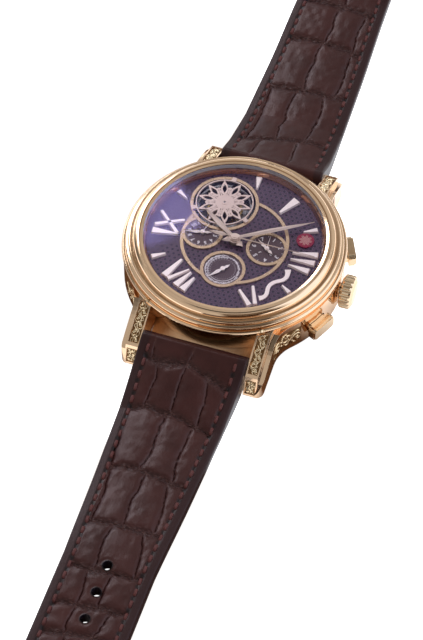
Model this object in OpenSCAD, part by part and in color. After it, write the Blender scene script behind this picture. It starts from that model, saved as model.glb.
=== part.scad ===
/* [Case] */
// Diameter of the case at its rim
case_d = 45.5; // [44.5:0.5:46.5]
// Height of the rim's top face above the back
rim_z = 10.7; // [10.5:0.1:11]
// Thickness of the rounded rim
rim_h = 0.8; // [0.6:0.1:1]
// Step from the rim in to the upright side band
band_step = 0.3; // [0.1:0.05:0.6]
// Height where the case middle meets the back
seat_z = 1.6; // [1.5:0.05:1.8]
// Step from the rim in to the foot of the case middle
base_step = 3.05; // [2.8:0.05:3.3]
// Distance from the rim in to the movement cavity
wall_t = 3.8; // [3.75:0.025:3.85]
// Height of the cove between the rim and the side band
cove_h = 1.5; // [1.2:0.1:1.8]
// Depth of that cove
cove_in = 1.1; // [0.8:0.1:1.3]

/* [Bezel and glass] */
// Width of the bezel from the rim to the glass
bezel_w = 4.35; // [4.25:0.05:4.5]
// Height of the bezel above the rim
bezel_h = 2.7; // [2.5:0.1:2.9]
// Radius of the two beads on the bezel's flank
bead_r = 0.42; // [0.34:0.02:0.46]
// Rise of the domed glass above the bezel
dome_h = 1.2; // [0.8:0.1:1.6]
// Width of the glass gasket
gasket_w = 0.3; // [0.2:0.05:0.4]
// Width of the case back round its glass
back_rim_w = 4.25; // [4:0.05:4.6]

/* [Lugs and spring bars] */
// Play of the strap between the lugs
strap_play = 0.1; // [0.1:0.05:0.3]
// Width of a lug
lug_w = 3.8; // [3.6:0.1:4]
// Distance from the rim to a lug's tip
lug_len = 5.7; // [5.5:0.1:5.9]
// Concave radius between a lug and the side band
lug_sweep_r = 8; // [7:0.5:9]
// Depth of the panels sunk in the lugs
panel_depth = 0.28; // [0.2:0.02:0.36]
// Distance from the rim to a spring bar
bar_out = 2.5; // [2.4:0.1:2.6]
// Height of a spring bar
bar_z = 4.4; // [4.2:0.1:4.6]
// Diameter of a spring bar's body
bar_d = 1.8; // [1.6:0.1:1.9]
// Diameter of a spring bar's end pins
bar_pin_d = 0.9; // [0.8:0.05:1]
// Depth that an end pin enters a lug
bar_pin_in = 1.1; // [0.8:0.1:1.4]

/* [Crown and pushers] */
// Diameter of the crown
crown_d = 7; // [6.6:0.1:7.2]
// Length of the crown
crown_len = 2.9; // [2.7:0.1:3.2]
// Number of flutes round the crown
crown_flutes = 20; // [18:1:24]
// Height of the winding stem
stem_z = 4.5; // [4.4:0.05:4.6]
// Diameter of the winding stem
stem_d = 1.1; // [1:0.05:1.2]
// Angle from the crown to each pusher
pusher_a = 25; // [24:0.5:27]
// Width of a pusher's cap
pusher_w = 6; // [5.8:0.1:6.2]
// Height of a pusher's cap
pusher_h = 3.2; // [3:0.1:3.4]
// Length of a pusher's cap
pusher_len = 1.6; // [1.4:0.1:1.8]
// Travel of a pusher
pusher_travel = 0.5; // [0.4:0.1:0.6]

/* [Dial] */
// Radius of the dial that the plan sizes below are given for; they grow with the case
layout_r = 17.6; // [17.4:0.05:17.8]
// Height of the dial's face
dial_z = 11.2; // [11.1:0.05:11.25]
// Thickness of the dial
dial_t = 0.4; // [0.3:0.05:0.45]
// Width of the sloped flange between glass and dial
flange_w = 0.8; // [0.7:0.05:0.9]
// Space between the left and right sub-dials, which touch the framing ring
side_space = 5.2; // [5:0.1:5.6]
// Outer diameter of the bottom sub-dial ring
low_d = 9.1; // [8.9:0.1:9.2]
// Distance that the bottom sub-dial reaches past the framing ring
low_over = 1.15; // [1:0.05:1.3]
// Outer diameter of the large ring that frames the sub-dials
frame_d = 22; // [21.8:0.1:22.2]
// Width of the dial's gold rings
ring_w = 0.65; // [0.55:0.05:0.75]
// Thickness of the dial's gold rings
ring_t = 0.3; // [0.2:0.05:0.35]
// Height of the raised hour markers
marker_h = 0.5; // [0.4:0.05:0.55]
// Gap between the markers and the flange
marker_gap = 0.5; // [0.4:0.05:0.6]
// Gap between the long markers and the framing ring
marker_in_gap = 1; // [0.9:0.05:1.2]
// Length of a short marker
short_len = 2.9; // [2.6:0.05:3]
// Diameter of the red roundel
roundel_d = 3.6; // [3.4:0.1:3.8]

/* [Hands] */
// Gap between the minute hand's tip and the flange
minute_gap = 1; // [0.7:0.1:1.4]
// Gap between the hour hand's tip and the framing ring
hour_gap = 1.3; // [1:0.1:1.6]
// Gap between the seconds hand's tip and the flange
seconds_gap = 0.9; // [0.7:0.1:1.4]
// Length of the seconds hand's tail
seconds_tail = 5.3; // [4.8:0.1:5.5]
// Gap between the left sub-dial's hand and its ring
left_hand_gap = 0.05; // [0.05:0.05:0.3]
// Gap between the right sub-dial's hand and its ring
right_hand_gap = 0.65; // [0.2:0.05:0.7]
// Gap between the bottom sub-dial's hand and its ring
low_hand_gap = 0.05; // [0.05:0.05:0.3]
// Gap between the two thin sub-dial needles and their rings
needle_gap = 0.55; // [0.4:0.05:0.7]
// Thickness of a hand
hand_t = 0.18; // [0.14:0.02:0.18]
// Running clearance round a pivot
run_gap = 0.04; // [0.03:0.005:0.05]

/* [Movement] */
// Width of the ring that holds the main plate
holder_w = 1.1; // [1:0.05:1.2]
// Height of the main plate's lower face
plate_z = 7.6; // [7.5:0.05:7.6]
// Height of the bridges' outer face, seen through the back
bridge_z = 3.2; // [3.1:0.05:3.25]
// Thickness of the bridges
bridge_t = 1; // [0.9:0.05:1]
// Gear module of the centre and third wheels
train_module = 0.12; // [0.118:0.001:0.122]
// Teeth of the centre wheel
centre_teeth = 80; // [78:1:82]
// Teeth of the third wheel
third_teeth = 75; // [74:1:76]
// Leaves of the pinions in the train
pinion_leaves = 10; // [10:1:10]
// Gear module of the barrel
barrel_module = 0.15; // [0.148:0.001:0.152]
// Teeth of the barrel
barrel_teeth = 80; // [78:1:82]
// Leaves of the pinion that the barrel drives
barrel_pinion = 12; // [12:1:12]
// Gap between the winding rotor and the plate's edge
rotor_gap = 0.9; // [0.8:0.1:1.1]
// Diameter of a bridge screw's head
screw_d = 1.2; // [1.1:0.05:1.3]

/* [Tourbillon] */
// Left of centre to the tourbillon's axis
tour_x = 4.93; // [4.9:0.01:4.96]
// Above centre to the tourbillon's axis
tour_y = 8.52; // [8.5:0.01:8.54]
// Diameter of the opening in the dial
tour_open_d = 12.7; // [12.6:0.05:12.8]
// Gap between the cage and the dial's opening
cage_gap = 0.75; // [0.7:0.05:0.85]
// Distance from the cage's rim in to the balance wheel
balance_in = 1.9; // [1.85:0.05:2]
// Teeth of the fixed wheel
fixed_teeth = 72; // [71:1:73]
// Leaves of the escape pinion
escape_leaves = 9; // [9:1:9]
// Gear module of the fixed wheel
tour_module = 0.1; // [0.099:0.001:0.101]
// Diameter of the escape wheel
escape_d = 2.9; // [2.8:0.05:2.9]
// Turns of the hairspring
spring_turns = 7; // [6:1:7]
// Thickness of the pierced bridge
filigree_t = 0.35; // [0.3:0.05:0.35]

/* [Strap] */
// Width of the strap at the lugs
strap_w = 22; // [21.6:0.1:22]
// Width of the strap at the buckle and the tail
strap_end_w = 18; // [17.6:0.1:18.4]
// Length of the half with the buckle, from bar to bar
upper_len = 80; // [78:1:82]
// Length of the half with the holes, from bar to tip
lower_len = 115; // [113:1:117]
// Thickness of the strap where it lies flat
strap_t = 2.9; // [2.8:0.05:3.1]
// Thickness of the lining
lining_t = 0.7; // [0.6:0.05:0.8]
// Height of the strap's top at the spring bar
strap_top = 8; // [7.8:0.1:8.1]
// Height that the stiff strap stays above the table
rest_lift = 1; // [0.8:0.1:1.2]
// Number of holes in the tail half
hole_count = 7; // [5:1:7]
// Distance between the holes
hole_pitch = 6.1; // [6:0.1:6.3]
// Diameter of a hole
hole_d = 1.9; // [1.7:0.1:2.1]
// Distance from the last hole to the strap's tip
tail_len = 27.5; // [27:0.1:29]
// Length of the tail where its width is even
even_len = 65; // [60:1:68]
// Height that the keepers lift the end of the buckle half
end_lift = 1.5; // [1.4:0.05:1.6]
// Height that the tail half bends up along its way
tail_lift = 1; // [0.8:0.1:1.2]
// Width of a keeper along the strap
keeper_w = 5; // [4.5:0.1:5.4]
// Distance from the buckle's bar to the fixed keeper
keeper_back = 10; // [10:0.5:12]
// Distance from the fixed keeper to the free keeper
keeper_space = 10; // [10:0.5:11]
// Thickness of a keeper's leather
keeper_t = 1.1; // [1:0.05:1.2]

/* [Buckle] */
// Length of the buckle frame
buckle_len = 15; // [14:0.5:16]
// Width of the buckle frame's sides
buckle_side = 2; // [1.8:0.1:2.2]
// Thickness of the buckle frame
buckle_t = 2.2; // [2:0.1:2.3]
// Diameter of the buckle's bar
buckle_bar_d = 1.5; // [1.4:0.05:1.6]
// Width of the tongue
tongue_w = 2; // [1.8:0.1:2.2]

/* [Hidden] */
$fn = 64;
pink = "#d9a87c";
steel = "#b9bcc2";
blue = "#2b2a4a";
umber = "#4a332d";

// gap left between pieces that seat in each other
seat_gap = 0.03;
case_r = case_d / 2;
band_r = case_r - band_step;
base_r = case_r - base_step;
cavity_r = case_r - wall_t;
glass_r = case_r - bezel_w;
back_glass_r = base_r - back_rim_w;
flange_r = glass_r - flange_w;
// how much larger the dial is than the one its plan is given for
fit = flange_r / layout_r;
frame_r = fit * frame_d / 2;
side_r = frame_r / 2 - fit * side_space / 4;
side_x = frame_r - side_r;
low_r = fit * low_d / 2;
low_y = frame_r - low_r + fit * low_over;
bezel_z = rim_z + bezel_h;
collar_r = cavity_r - seat_gap;
// the bore that holds glass, flange and dial
bore_r = glass_r + gasket_w;
dial_r = bore_r - 0.35;
dial_low = dial_z - dial_t;
plate_r = bore_r - holder_w;
rotor_r = plate_r - rotor_gap;
plate_top = dial_low - 1.4;
glass_foot = dial_z + 1.05;
lug_gap = strap_w + strap_play;
lug_in = lug_gap / 2;
lug_out = lug_in + lug_w;
lug_reach = case_r + lug_len;
lug_bend = lug_reach - 1.3;
bar_y = case_r + bar_out;
// centre of the concave arc between a lug's side and the side band
sweep_c = [lug_out + lug_sweep_r,
  sqrt(pow(band_r + lug_sweep_r, 2) - pow(lug_out + lug_sweep_r, 2))];
sweep_a = atan2(sweep_c[1], sweep_c[0]);
tour_c = fit * [-tour_x, tour_y];
tour_open_r = fit * tour_open_d / 2;
cup_floor = plate_z - 1;
cup_t = 0.3;
train_m = fit * train_module;
barrel_m = fit * barrel_module;
tour_m = fit * tour_module;
third_r = third_teeth * train_m / 2;
centre_r = centre_teeth * train_m / 2;
leaf_r = pinion_leaves * train_m / 2;
barrel_r = barrel_teeth * barrel_m / 2;
// the third wheel meshes with the centre wheel and the cage's pinion
reach_a = centre_r + leaf_r;
reach_b = third_r + leaf_r;
tour_far = norm(tour_c);
third_along = (reach_a * reach_a - reach_b * reach_b + tour_far * tour_far) / (2 * tour_far);
third_off = sqrt(reach_a * reach_a - third_along * third_along);
tour_dir = tour_c / tour_far;
third_c = third_along * tour_dir + third_off * [-tour_dir[1], tour_dir[0]];
barrel_far = (barrel_teeth + barrel_pinion) * barrel_m / 2;
barrel_a = 240;
barrel_c = barrel_far * [cos(barrel_a), sin(barrel_a)];
minute_a = 300;
minute_m = fit * 0.12;
minute_far = 24 * minute_m;
hour_m = minute_far / 25;
minute_c = minute_far * [cos(minute_a), sin(minute_a)];
third_z = bridge_z + bridge_t + 0.2;
centre_z = third_z + 0.5;
escape_a = 30;
escape_far = (fixed_teeth + escape_leaves) * tour_m / 2;
escape_c = escape_far * [cos(escape_a), sin(escape_a)];
escape_r = fit * escape_d / 2;
pallet_far = escape_far - escape_r / cos(30);
cage_z = cup_floor + cup_t + 0.4;
cage_top = dial_z - 0.8;
cage_r = tour_open_r - cage_gap;
balance_r = cage_r - balance_in;
balance_z = cage_z + 1.6;
filigree_z = dial_z + ring_t + 0.04;
low_hand_z = dial_z + ring_t + 0.08;
needle_z = low_hand_z + hand_t + 0.08;
hour_z = dial_z + 0.92;
minute_z = hour_z + hand_t + 0.12;
seconds_z = minute_z + hand_t + 0.12;
marker_out = flange_r - marker_gap;
long_len = marker_out - frame_r - marker_in_gap;
side_in = side_r - ring_w;
low_in = low_r - ring_w;
minute_len = flange_r - minute_gap;
hour_len = frame_r - hour_gap;
seconds_len = flange_r - seconds_gap;
left_hand_len = side_in - left_hand_gap;
right_hand_len = side_in - right_hand_gap;
low_hand_len = low_in - low_hand_gap;
needle_len = side_in - needle_gap;
crown_x = case_r + 0.05;
tube_d = 3;
pusher_tube_d = 2.4;
pusher_stem_d = 1.5;
neck_w = pusher_w - 1.4;
neck_h = pusher_h - 1;
pusher_floor = band_r - 1.1;
side_c = [[-side_x, 0], [side_x, 0]];
low_c = [0, -low_y];
hand_holes = [[0, 0], side_c[0], side_c[1], low_c];
hand_hole_d = 1.2;
plaque_r = 1.9;
jewel_d = 1.3;
leaf_count = 10;
screw_r = plate_r - 1.3;
screw_hole_d = 0.7;
// angles between which each of the two bridges lies, and the angles of its screws
split = [[14, 172], [176, 346]];
screw_a = [[24, 78, 150], [196, 262, 322]];
pillar_a = [90, 210, 330];
staff_r = 0.15;
hour_a = 304.8;
minute_hand_a = 57.9;
seconds_a = 89.4;
pusher_r = band_r + pusher_travel + 0.1;
pusher_z = stem_z;
strap_half = strap_w / 2;
tail_half = strap_end_w / 2;
roll_t = 1.1;
end_low = bar_z - bar_d / 2 - roll_t;
roll_mid = (strap_top + end_low) / 2;
roll_half = (strap_top - end_low) / 2;
roll_reach = bar_d / 2 + roll_t + 0.1;
lining_start = 1.8;
flat_from = 15;
keeper_far = [upper_len - keeper_back, upper_len - keeper_back - keeper_space];
lift_to = keeper_far[1] - 10;
lift_from = lift_to - 20;
buckle_bar_z = rest_lift + end_lift + strap_t / 2;
upper_taper = upper_len - 3;
lower_taper = lower_len - even_len;
hole_first = lower_len - tail_len - (hole_count - 1) * hole_pitch;
frame_in = tail_half + 0.2;
frame_out = frame_in + buckle_side;
frame_end = upper_len + buckle_len - 1.8;

function lerp(a, b, t) = a + (b - a) * t;
function clamp(t) = max(0, min(1, t));
function smooth(t) = let (u = clamp(t)) u * u * (3 - 2 * u);
function polar(r, a) = [r * cos(a), r * sin(a)];
function arc(r, a0, a1, n, c = [0, 0]) = [for (i = [0:n]) c + polar(r, lerp(a0, a1, i / n))];
function bezier(a, b, c, n) =
  [for (i = [0:n]) let (t = i / n) lerp(lerp(a, b, t), lerp(b, c, t), t)];
function reversed(p) = [for (i = [len(p) - 1:-1:0]) p[i]];
function flip_y(p) = [for (q = reversed(p)) [q[0], -q[1]]];
function direction(p) = atan2(p[1], p[0]);

// Flat ring
module ring(r_out, r_in, h) {
  difference() {
    cylinder(r = r_out, h = h);
    translate([0, 0, -0.1])
      cylinder(r = r_in, h = h + 0.2);
  }
}

// Toothed outline: four points a tooth, with one tooth centred on angle a
module teeth(count, m, a = 0) {
  step = 360 / count;
  r = count * m / 2;
  tip = r + 0.8 * m;
  root = r - 1.15 * m;
  polygon([for (i = [0:count - 1]) for (k = [[root, -0.27], [tip, -0.1], [tip, 0.1], [root, 0.27]])
    polar(k[0], a + step * (i + k[1]))]);
}

// A wheel with spokes and a toothed rim
module spoked_wheel(count, m, h, hub, spokes, a = 0) {
  r_in = count * m / 2 - 1.15 * m - 0.45;
  linear_extrude(h)
    difference() {
      teeth(count, m, a);
      difference() {
        circle(r = r_in);
        circle(r = hub);
        for (i = [0:spokes - 1])
          rotate(i * 360 / spokes)
            translate([0, -0.2])
              square([r_in + 0.2, 0.4]);
      }
    }
}

// A hand's blade along +X with a ridge down its middle: stations are [x, half width]
module blade(stations, h) {
  n = len(stations);
  points = [for (s = stations) each [[s[0], s[1], 0], [s[0], 0, h], [s[0], -s[1], 0]]];
  quads = [[0, 1, 4, 3], [1, 2, 5, 4], [2, 0, 3, 5]];
  sides = [for (i = [0:n - 2]) for (q = quads) for (t = [[3, 2, 1], [3, 1, 0]])
    [for (k = t) 3 * i + q[k]]];
  last = 3 * n - 1;
  polyhedron(points, concat(sides, [[0, 1, 2]], [[last, last - 1, last - 2]]), convexity = 4);
}

// Case

// Top edge of a lug, seen from the side, from the rim to the bend and over the tip
function lug_top() = concat(
  bezier([case_r - 5, rim_z - 0.6], [case_r, bar_z + 3.9], [lug_bend, bar_z + 1.05], 12),
  arc(0.7, 20, -60, 4, [lug_reach - 0.7, 1.15]));
// Underside of a lug, from the tip back to the case
function lug_under() =
  bezier([lug_reach - 1.3, 0.2], [lug_reach - 5, 0.7], [base_r - 1.2, seat_z], 8);
// Half of the side outline: flat under the rim, then the lug; drop lowers it as far as the tip
function side_half(drop = 0) = concat([[0, rim_z - 0.6 - drop]],
  [for (q = lug_top()) [q[0], q[1] - drop * (1 - smooth(q[0] - lug_reach + 1.2))]],
  lug_under(), [[0, seat_z]]);

// The side outline of both lugs of one side, as a solid across x0 to x1
module side_solid(x0, x1, drop = 0) {
  translate([x0, 0, 0])
    rotate([90, 0, 90])
      linear_extrude(x1 - x0)
        polygon(concat(side_half(drop), reversed([for (q = side_half(drop)) [-q[0], q[1]]])));
}

// Plan outline of the side band and the two lugs on the +X side
function wing_half(inset) = let (tip_r = 2.3 - inset) concat(
  arc(band_r - inset, 0, sweep_a, 10),
  arc(lug_sweep_r + inset, 180 + sweep_a, 180, 8, sweep_c),
  arc(tip_r, 0, 80, 6, [lug_out - 2.3, lug_reach + 0.1 - tip_r]),
  [[lug_in, lug_reach + 0.2]]);
module wing_plan(inset) {
  translate([0, 0, -1])
    linear_extrude(rim_z + 2)
      polygon(concat(wing_half(inset), flip_y(wing_half(inset))));
}

// One side of the case: the lower band runs outside the cove, the ridge above it
module wing() {
  intersection() {
    wing_plan(0);
    side_solid(lug_in, case_r, cove_h);
  }
  intersection() {
    wing_plan(cove_in);
    side_solid(lug_in, case_r);
  }
}

// Skin that the lug panels are sunk into, down to panel_depth
module panel_skin() {
  difference() {
    side_solid(lug_in + 0.3, lug_out - cove_in - 0.3);
    translate([-1, 0, 0])
      for (s = [-1, 1])
        translate([0, -s * panel_depth * 0.6, -panel_depth])
          intersection() {
            side_solid(lug_in, lug_out + 2);
            translate([0, s > 0 ? 0 : -2 * case_r, 0])
              cube([2 * case_r, 2 * case_r, case_r]);
          }
  }
}

module lug_panels() {
  for (s = [-1, 1]) {
    intersection() {
      panel_skin();
      translate([lug_in, s > 0 ? case_r - 4 : 0.6 - lug_bend, 3])
        cube([lug_w, lug_bend - case_r + 3.4, 8]);
    }
    intersection() {
      panel_skin();
      translate([lug_in, s > 0 ? lug_bend + 0.2 : -lug_bend - 5.2, 1.5])
        cube([lug_w, 5, bar_z - 1.15]);
    }
  }
}

module pusher_place(side) {
  rotate(side * pusher_a)
    translate([0, 0, pusher_z])
      rotate([0, 90, 0])
        children();
}

// Upright rounded block, w wide and h tall, growing outwards along Z
module rounded_block(w, h, len, r) {
  linear_extrude(len)
    square([h - 2 * r, w], center = true);
  linear_extrude(len)
    square([h, w - 2 * r], center = true);
  for (y = [-1, 1])
    for (x = [-1, 1])
      translate([x * (h / 2 - r), y * (w / 2 - r), 0])
        cylinder(r = r, h = len);
}

module case_middle() {
  color(pink)
    difference() {
      union() {
        rotate_extrude()
          polygon(concat([[cavity_r - 2, seat_z], [base_r, seat_z]],
            bezier([base_r + 0.1, seat_z + 0.3], [base_r + 1.5, seat_z + 2.8],
              [case_r - 0.95, rim_z - rim_h - 0.25], 6),
            arc(rim_h / 2, -75, 80, 6, [case_r - rim_h / 2, rim_z - rim_h / 2]),
            [[cavity_r - 2, rim_z]]));
        wing();
        mirror([1, 0, 0])
          wing();
      }
      translate([0, 0, seat_z - 1])
        cylinder(r = cavity_r, h = dial_low - 1.4 - seat_z + 1);
      cylinder(r = bore_r, h = rim_z + 1);
      translate([0, 0, seat_z - 0.1])
        cylinder(r = cavity_r + 0.35, h = 0.35);
      lug_panels();
      mirror([1, 0, 0])
        lug_panels();
      for (s = [-1, 1])
        translate([0, s * bar_y, bar_z])
          rotate([0, 90, 0])
            cylinder(d = bar_pin_d + 0.06, h = lug_gap + 2 * bar_pin_in + 0.2, center = true);
      translate([cavity_r - 1, 0, stem_z])
        rotate([0, 90, 0])
          cylinder(d = tube_d + 2 * seat_gap, h = 8);
      for (s = [-1, 1])
        pusher_place(s) {
          translate([0, 0, cavity_r - 1])
            cylinder(d = pusher_tube_d + 2 * seat_gap, h = 8);
          translate([0, 0, pusher_floor])
            rounded_block(neck_w + 0.3, neck_h + 0.3, 5, 0.8);
        }
    }
}

module bezel() {
  top_r = glass_r + 0.05;
  color(pink)
    rotate_extrude()
      polygon(concat(
        [[bore_r + 0.02, rim_z], [case_r - 1.05, rim_z]],
        arc(bead_r, -60, 85, 8, [case_r - 1.1, rim_z + bead_r + 0.03]),
        arc(bead_r, -60, 85, 8, [case_r - 1.7, rim_z + 3 * bead_r + 0.07]),
        bezier([glass_r + 2.05, rim_z + bezel_h - 0.95], [glass_r + 1.9, bezel_z + 0.25],
          [top_r + 0.5, bezel_z + 0.1], 8),
        [[top_r, bezel_z], [top_r, bezel_z - 0.2], [bore_r + 0.02, bezel_z - 0.25]]));
}

module crystal() {
  edge = glass_r - 1.1;
  top_r = (glass_r * glass_r + dome_h * dome_h) / (2 * dome_h);
  in_h = dome_h / 2;
  in_r = (edge * edge + in_h * in_h) / (2 * in_h);
  in_z = dial_z + 1.8;
  color("#dfe8f0", 0.25)
    rotate_extrude()
      polygon(concat([[edge, glass_foot], [glass_r, glass_foot]],
        [for (i = [0:10]) let (x = glass_r * (1 - i / 10))
          [x, bezel_z + dome_h - top_r + sqrt(top_r * top_r - x * x)]],
        [for (i = [0:8]) let (x = edge * i / 8)
          [x, in_z + in_h - in_r + sqrt(in_r * in_r - x * x)]]));
}

module crystal_gasket() {
  color("#e8e8e4")
    translate([0, 0, glass_foot])
      ring(bore_r, glass_r + 0.01, bezel_z - 0.27 - glass_foot);
}

module case_back() {
  lip = back_glass_r;
  color(pink)
    difference() {
      rotate_extrude()
        polygon(concat([[lip - 0.8, 0.15], [lip - 0.5, 0], [base_r - 1.9, 0]],
          arc(1.4, -80, -10, 5, [base_r - 1.5, seat_z - 0.15]),
          [[base_r - 0.1, seat_z], [collar_r, seat_z], [collar_r, seat_z + 0.8],
            [collar_r - 0.6, seat_z + 0.8], [collar_r - 0.6, seat_z],
            [lip + seat_gap, seat_z], [lip + seat_gap, 0.55], [lip - 0.8, 0.55]]));
      for (i = [0:5])
        rotate(i * 60 + 30)
          translate([base_r - 2.9, -0.9, -1])
            cube([5, 1.8, 1.6]);
    }
}

module case_back_gasket() {
  color("#202020")
    translate([0, 0, seat_z])
      ring(cavity_r + 0.33, cavity_r + 0.02, 0.24);
}

module back_crystal() {
  color("#dfe8f0", 0.25)
    translate([0, 0, 0.55])
      cylinder(r = back_glass_r, h = 0.95);
}

module crown_tube() {
  color(pink)
    translate([cavity_r + 0.05, 0, stem_z])
      rotate([0, 90, 0])
        ring(tube_d / 2, stem_d / 2 + seat_gap, crown_x - cavity_r + 0.65);
}

module pusher_tubes() {
  color(pink)
    for (s = [-1, 1])
      pusher_place(s)
        translate([0, 0, cavity_r + 0.05])
          ring(pusher_tube_d / 2, pusher_stem_d / 2 + seat_gap, pusher_floor - cavity_r - 0.05);
}

module flange_ring() {
  out_r = bore_r - seat_gap;
  color(pink)
    translate([0, 0, dial_z])
      rotate_extrude()
        polygon([[flange_r, 0], [out_r, 0], [out_r, 1.05], [flange_r + 0.35, 1.05],
          [flange_r, 0.15]]);
}

module movement_ring() {
  color(steel)
    difference() {
      translate([0, 0, bridge_z])
        ring(bore_r - 0.05, plate_r + 0.03, dial_low - bridge_z);
      translate([plate_r - 1, 0, stem_z])
        rotate([0, 90, 0])
          cylinder(d = stem_d + 0.8, h = 4);
      for (s = [-1, 1])
        pusher_place(s)
          translate([0, 0, plate_r - 1])
            cylinder(d = pusher_stem_d + 0.5, h = 4);
    }
}

// Dial

module dial() {
  color(blue)
    difference() {
      translate([0, 0, dial_low])
        cylinder(r = dial_r, h = dial_t);
      translate([tour_c[0], tour_c[1], dial_low - 1])
        cylinder(r = tour_open_r, h = 3);
      for (p = hand_holes)
        translate([p[0], p[1], dial_low - 1])
          cylinder(d = p == [0, 0] ? 2.4 : hand_hole_d, h = 3);
    }
}

// A faceted wedge marker, wide at its outer end: r0 and r1 from the centre, clock angle a
module wedge(r0, r1, a, half = 0.62, tip = 0.08) {
  rotate(90 - a)
    translate([0, 0, dial_z])
      blade([[r0, tip], [r1 - 0.25, half], [r1, half * 0.72]], marker_h);
}

// A wedge laid from the point p to the point q, narrow at p
module stroke(p, q, half = 0.55, tip = 0.1) {
  translate([p[0], p[1], dial_z])
    rotate(direction(q - p))
      blade([[0, tip], [norm(q - p) - 0.2, half], [norm(q - p), half * 0.72]], marker_h);
}

// Two strokes that meet at their outer ends
module numeral_v(a, spread) {
  r0 = marker_out - long_len;
  r1 = marker_out - 0.3;
  stroke(polar(r0, 90 - a + spread), polar(r1, 90 - a + 1.4), 0.36);
  stroke(polar(r0, 90 - a - spread), polar(r1, 90 - a - 1.4), 0.62);
}

module hour_markers() {
  out = marker_out;
  in = marker_out - long_len;
  color(pink) {
    wedge(in - 0.6, out - 0.5, 32.5, 0.8);
    for (a = [0, 62, 122, 238.5, 302])
      wedge(out - short_len, out, a, 0.55);
    for (a = [83.5, 90, 96.5])
      wedge(in, out - 0.1, a, 0.66);
    numeral_v(151.6, 7);
    numeral_v(215, 5.6);
    for (a = [202.5, 207.5])
      wedge(in, out - 0.2, a, 0.5);
    wedge(in, out - 0.1, 266, 0.6);
    stroke(polar(in, 90 - 282), polar(out - 0.5, 90 - 272.5), 0.5);
    stroke(polar(in, 90 - 272), polar(out - 0.5, 90 - 283.5), 0.62);
  }
}

module subdial_frame() {
  color(pink)
    translate([0, 0, dial_z])
      linear_extrude(ring_t)
        difference() {
          union() {
            difference() {
              circle(r = frame_r);
              circle(r = frame_r - ring_w);
              translate(tour_c)
                circle(r = tour_open_r + ring_w + 0.06);
            }
            for (p = side_c)
              translate(p)
                circle(r = side_r);
            translate(low_c)
              circle(r = low_r);
          }
          for (p = side_c)
            translate(p)
              circle(r = side_in);
          translate(low_c)
            circle(r = low_in);
          translate(tour_c)
            circle(r = tour_open_r + ring_w + 0.04);
        }
}

module subdial_discs() {
  color("#4b3f3c")
    difference() {
      for (p = [[side_c[0], side_in], [side_c[1], side_in], [low_c, low_in]])
        translate([p[0][0], p[0][1], dial_z])
          ring(p[1] - seat_gap, hand_hole_d / 2, 0.12);
      translate([tour_c[0], tour_c[1], dial_z - 1])
        cylinder(r = tour_open_r + ring_w + seat_gap, h = 3);
    }
}

module red_roundel() {
  color("#b3202b")
    translate([fit * 13.5, fit * 4.5, dial_z])
      cylinder(d = fit * roundel_d, h = 0.35);
}

// Ribbon between four and five o'clock: a band that waves along three curves
module ribbon_ornament() {
  ends = fit * [[12.4, -3.7], [11.6, -6.95], [10.1, -10], [9.1, -12.3]];
  bends = fit * [[13.3, -6], [9.7, -8], [10.5, -11.7]];
  n = 24;
  mid = concat([for (k = [0:2]) for (i = [0:7])
    bezier(ends[k], bends[k], ends[k + 1], 8)[i]], [ends[3]]);
  half = [for (i = [0:n]) 0.4 + 0.22 * pow(abs(2 * i / n - 1), 6)];
  edge = [for (i = [0:n]) let (d = mid[min(n, i + 1)] - mid[max(0, i - 1)])
    [-d[1], d[0]] / norm(d) * half[i]];
  color(pink)
    translate([0, 0, dial_z])
      linear_extrude(0.3)
        polygon(concat([for (i = [0:n]) mid[i] + edge[i]],
          reversed([for (i = [0:n]) mid[i] - edge[i]])));
}

module tourbillon_ring() {
  color(pink)
    translate([tour_c[0], tour_c[1], dial_z])
      ring(tour_open_r + ring_w, tour_open_r, ring_t);
}

// A curled band: the radius shrinks from r as it turns, and the band thins
module scroll(r, turn, w, n = 14) {
  mid = [for (i = [0:n]) polar(r * (1 - 0.6 * i / n), turn * i / n) - [r, 0]];
  half = [for (i = [0:n]) w / 2 * (1 - 0.45 * i / n)];
  edge = [for (i = [0:n]) let (d = mid[min(n, i + 1)] - mid[max(0, i - 1)])
    [-d[1], d[0]] / norm(d) * half[i]];
  polygon(concat([for (i = [0:n]) mid[i] + edge[i]], reversed([for (i = [0:n]) mid[i] - edge[i]])));
}

// A pierced leaf along +X
module leaf(len, w) {
  outer = [for (i = [0:16]) let (t = i / 16) [len * t, w / 2 * sin(180 * pow(t, 0.8))]];
  inner = [for (i = [0:10]) let (t = i / 10) [len * (0.2 + 0.55 * t), w * 0.27 * sin(180 * t)]];
  difference() {
    polygon(concat(outer, reversed([for (q = outer) [q[0], -q[1]]])));
    polygon(concat(inner, reversed([for (q = inner) [q[0], -q[1]]])));
  }
}

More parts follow.
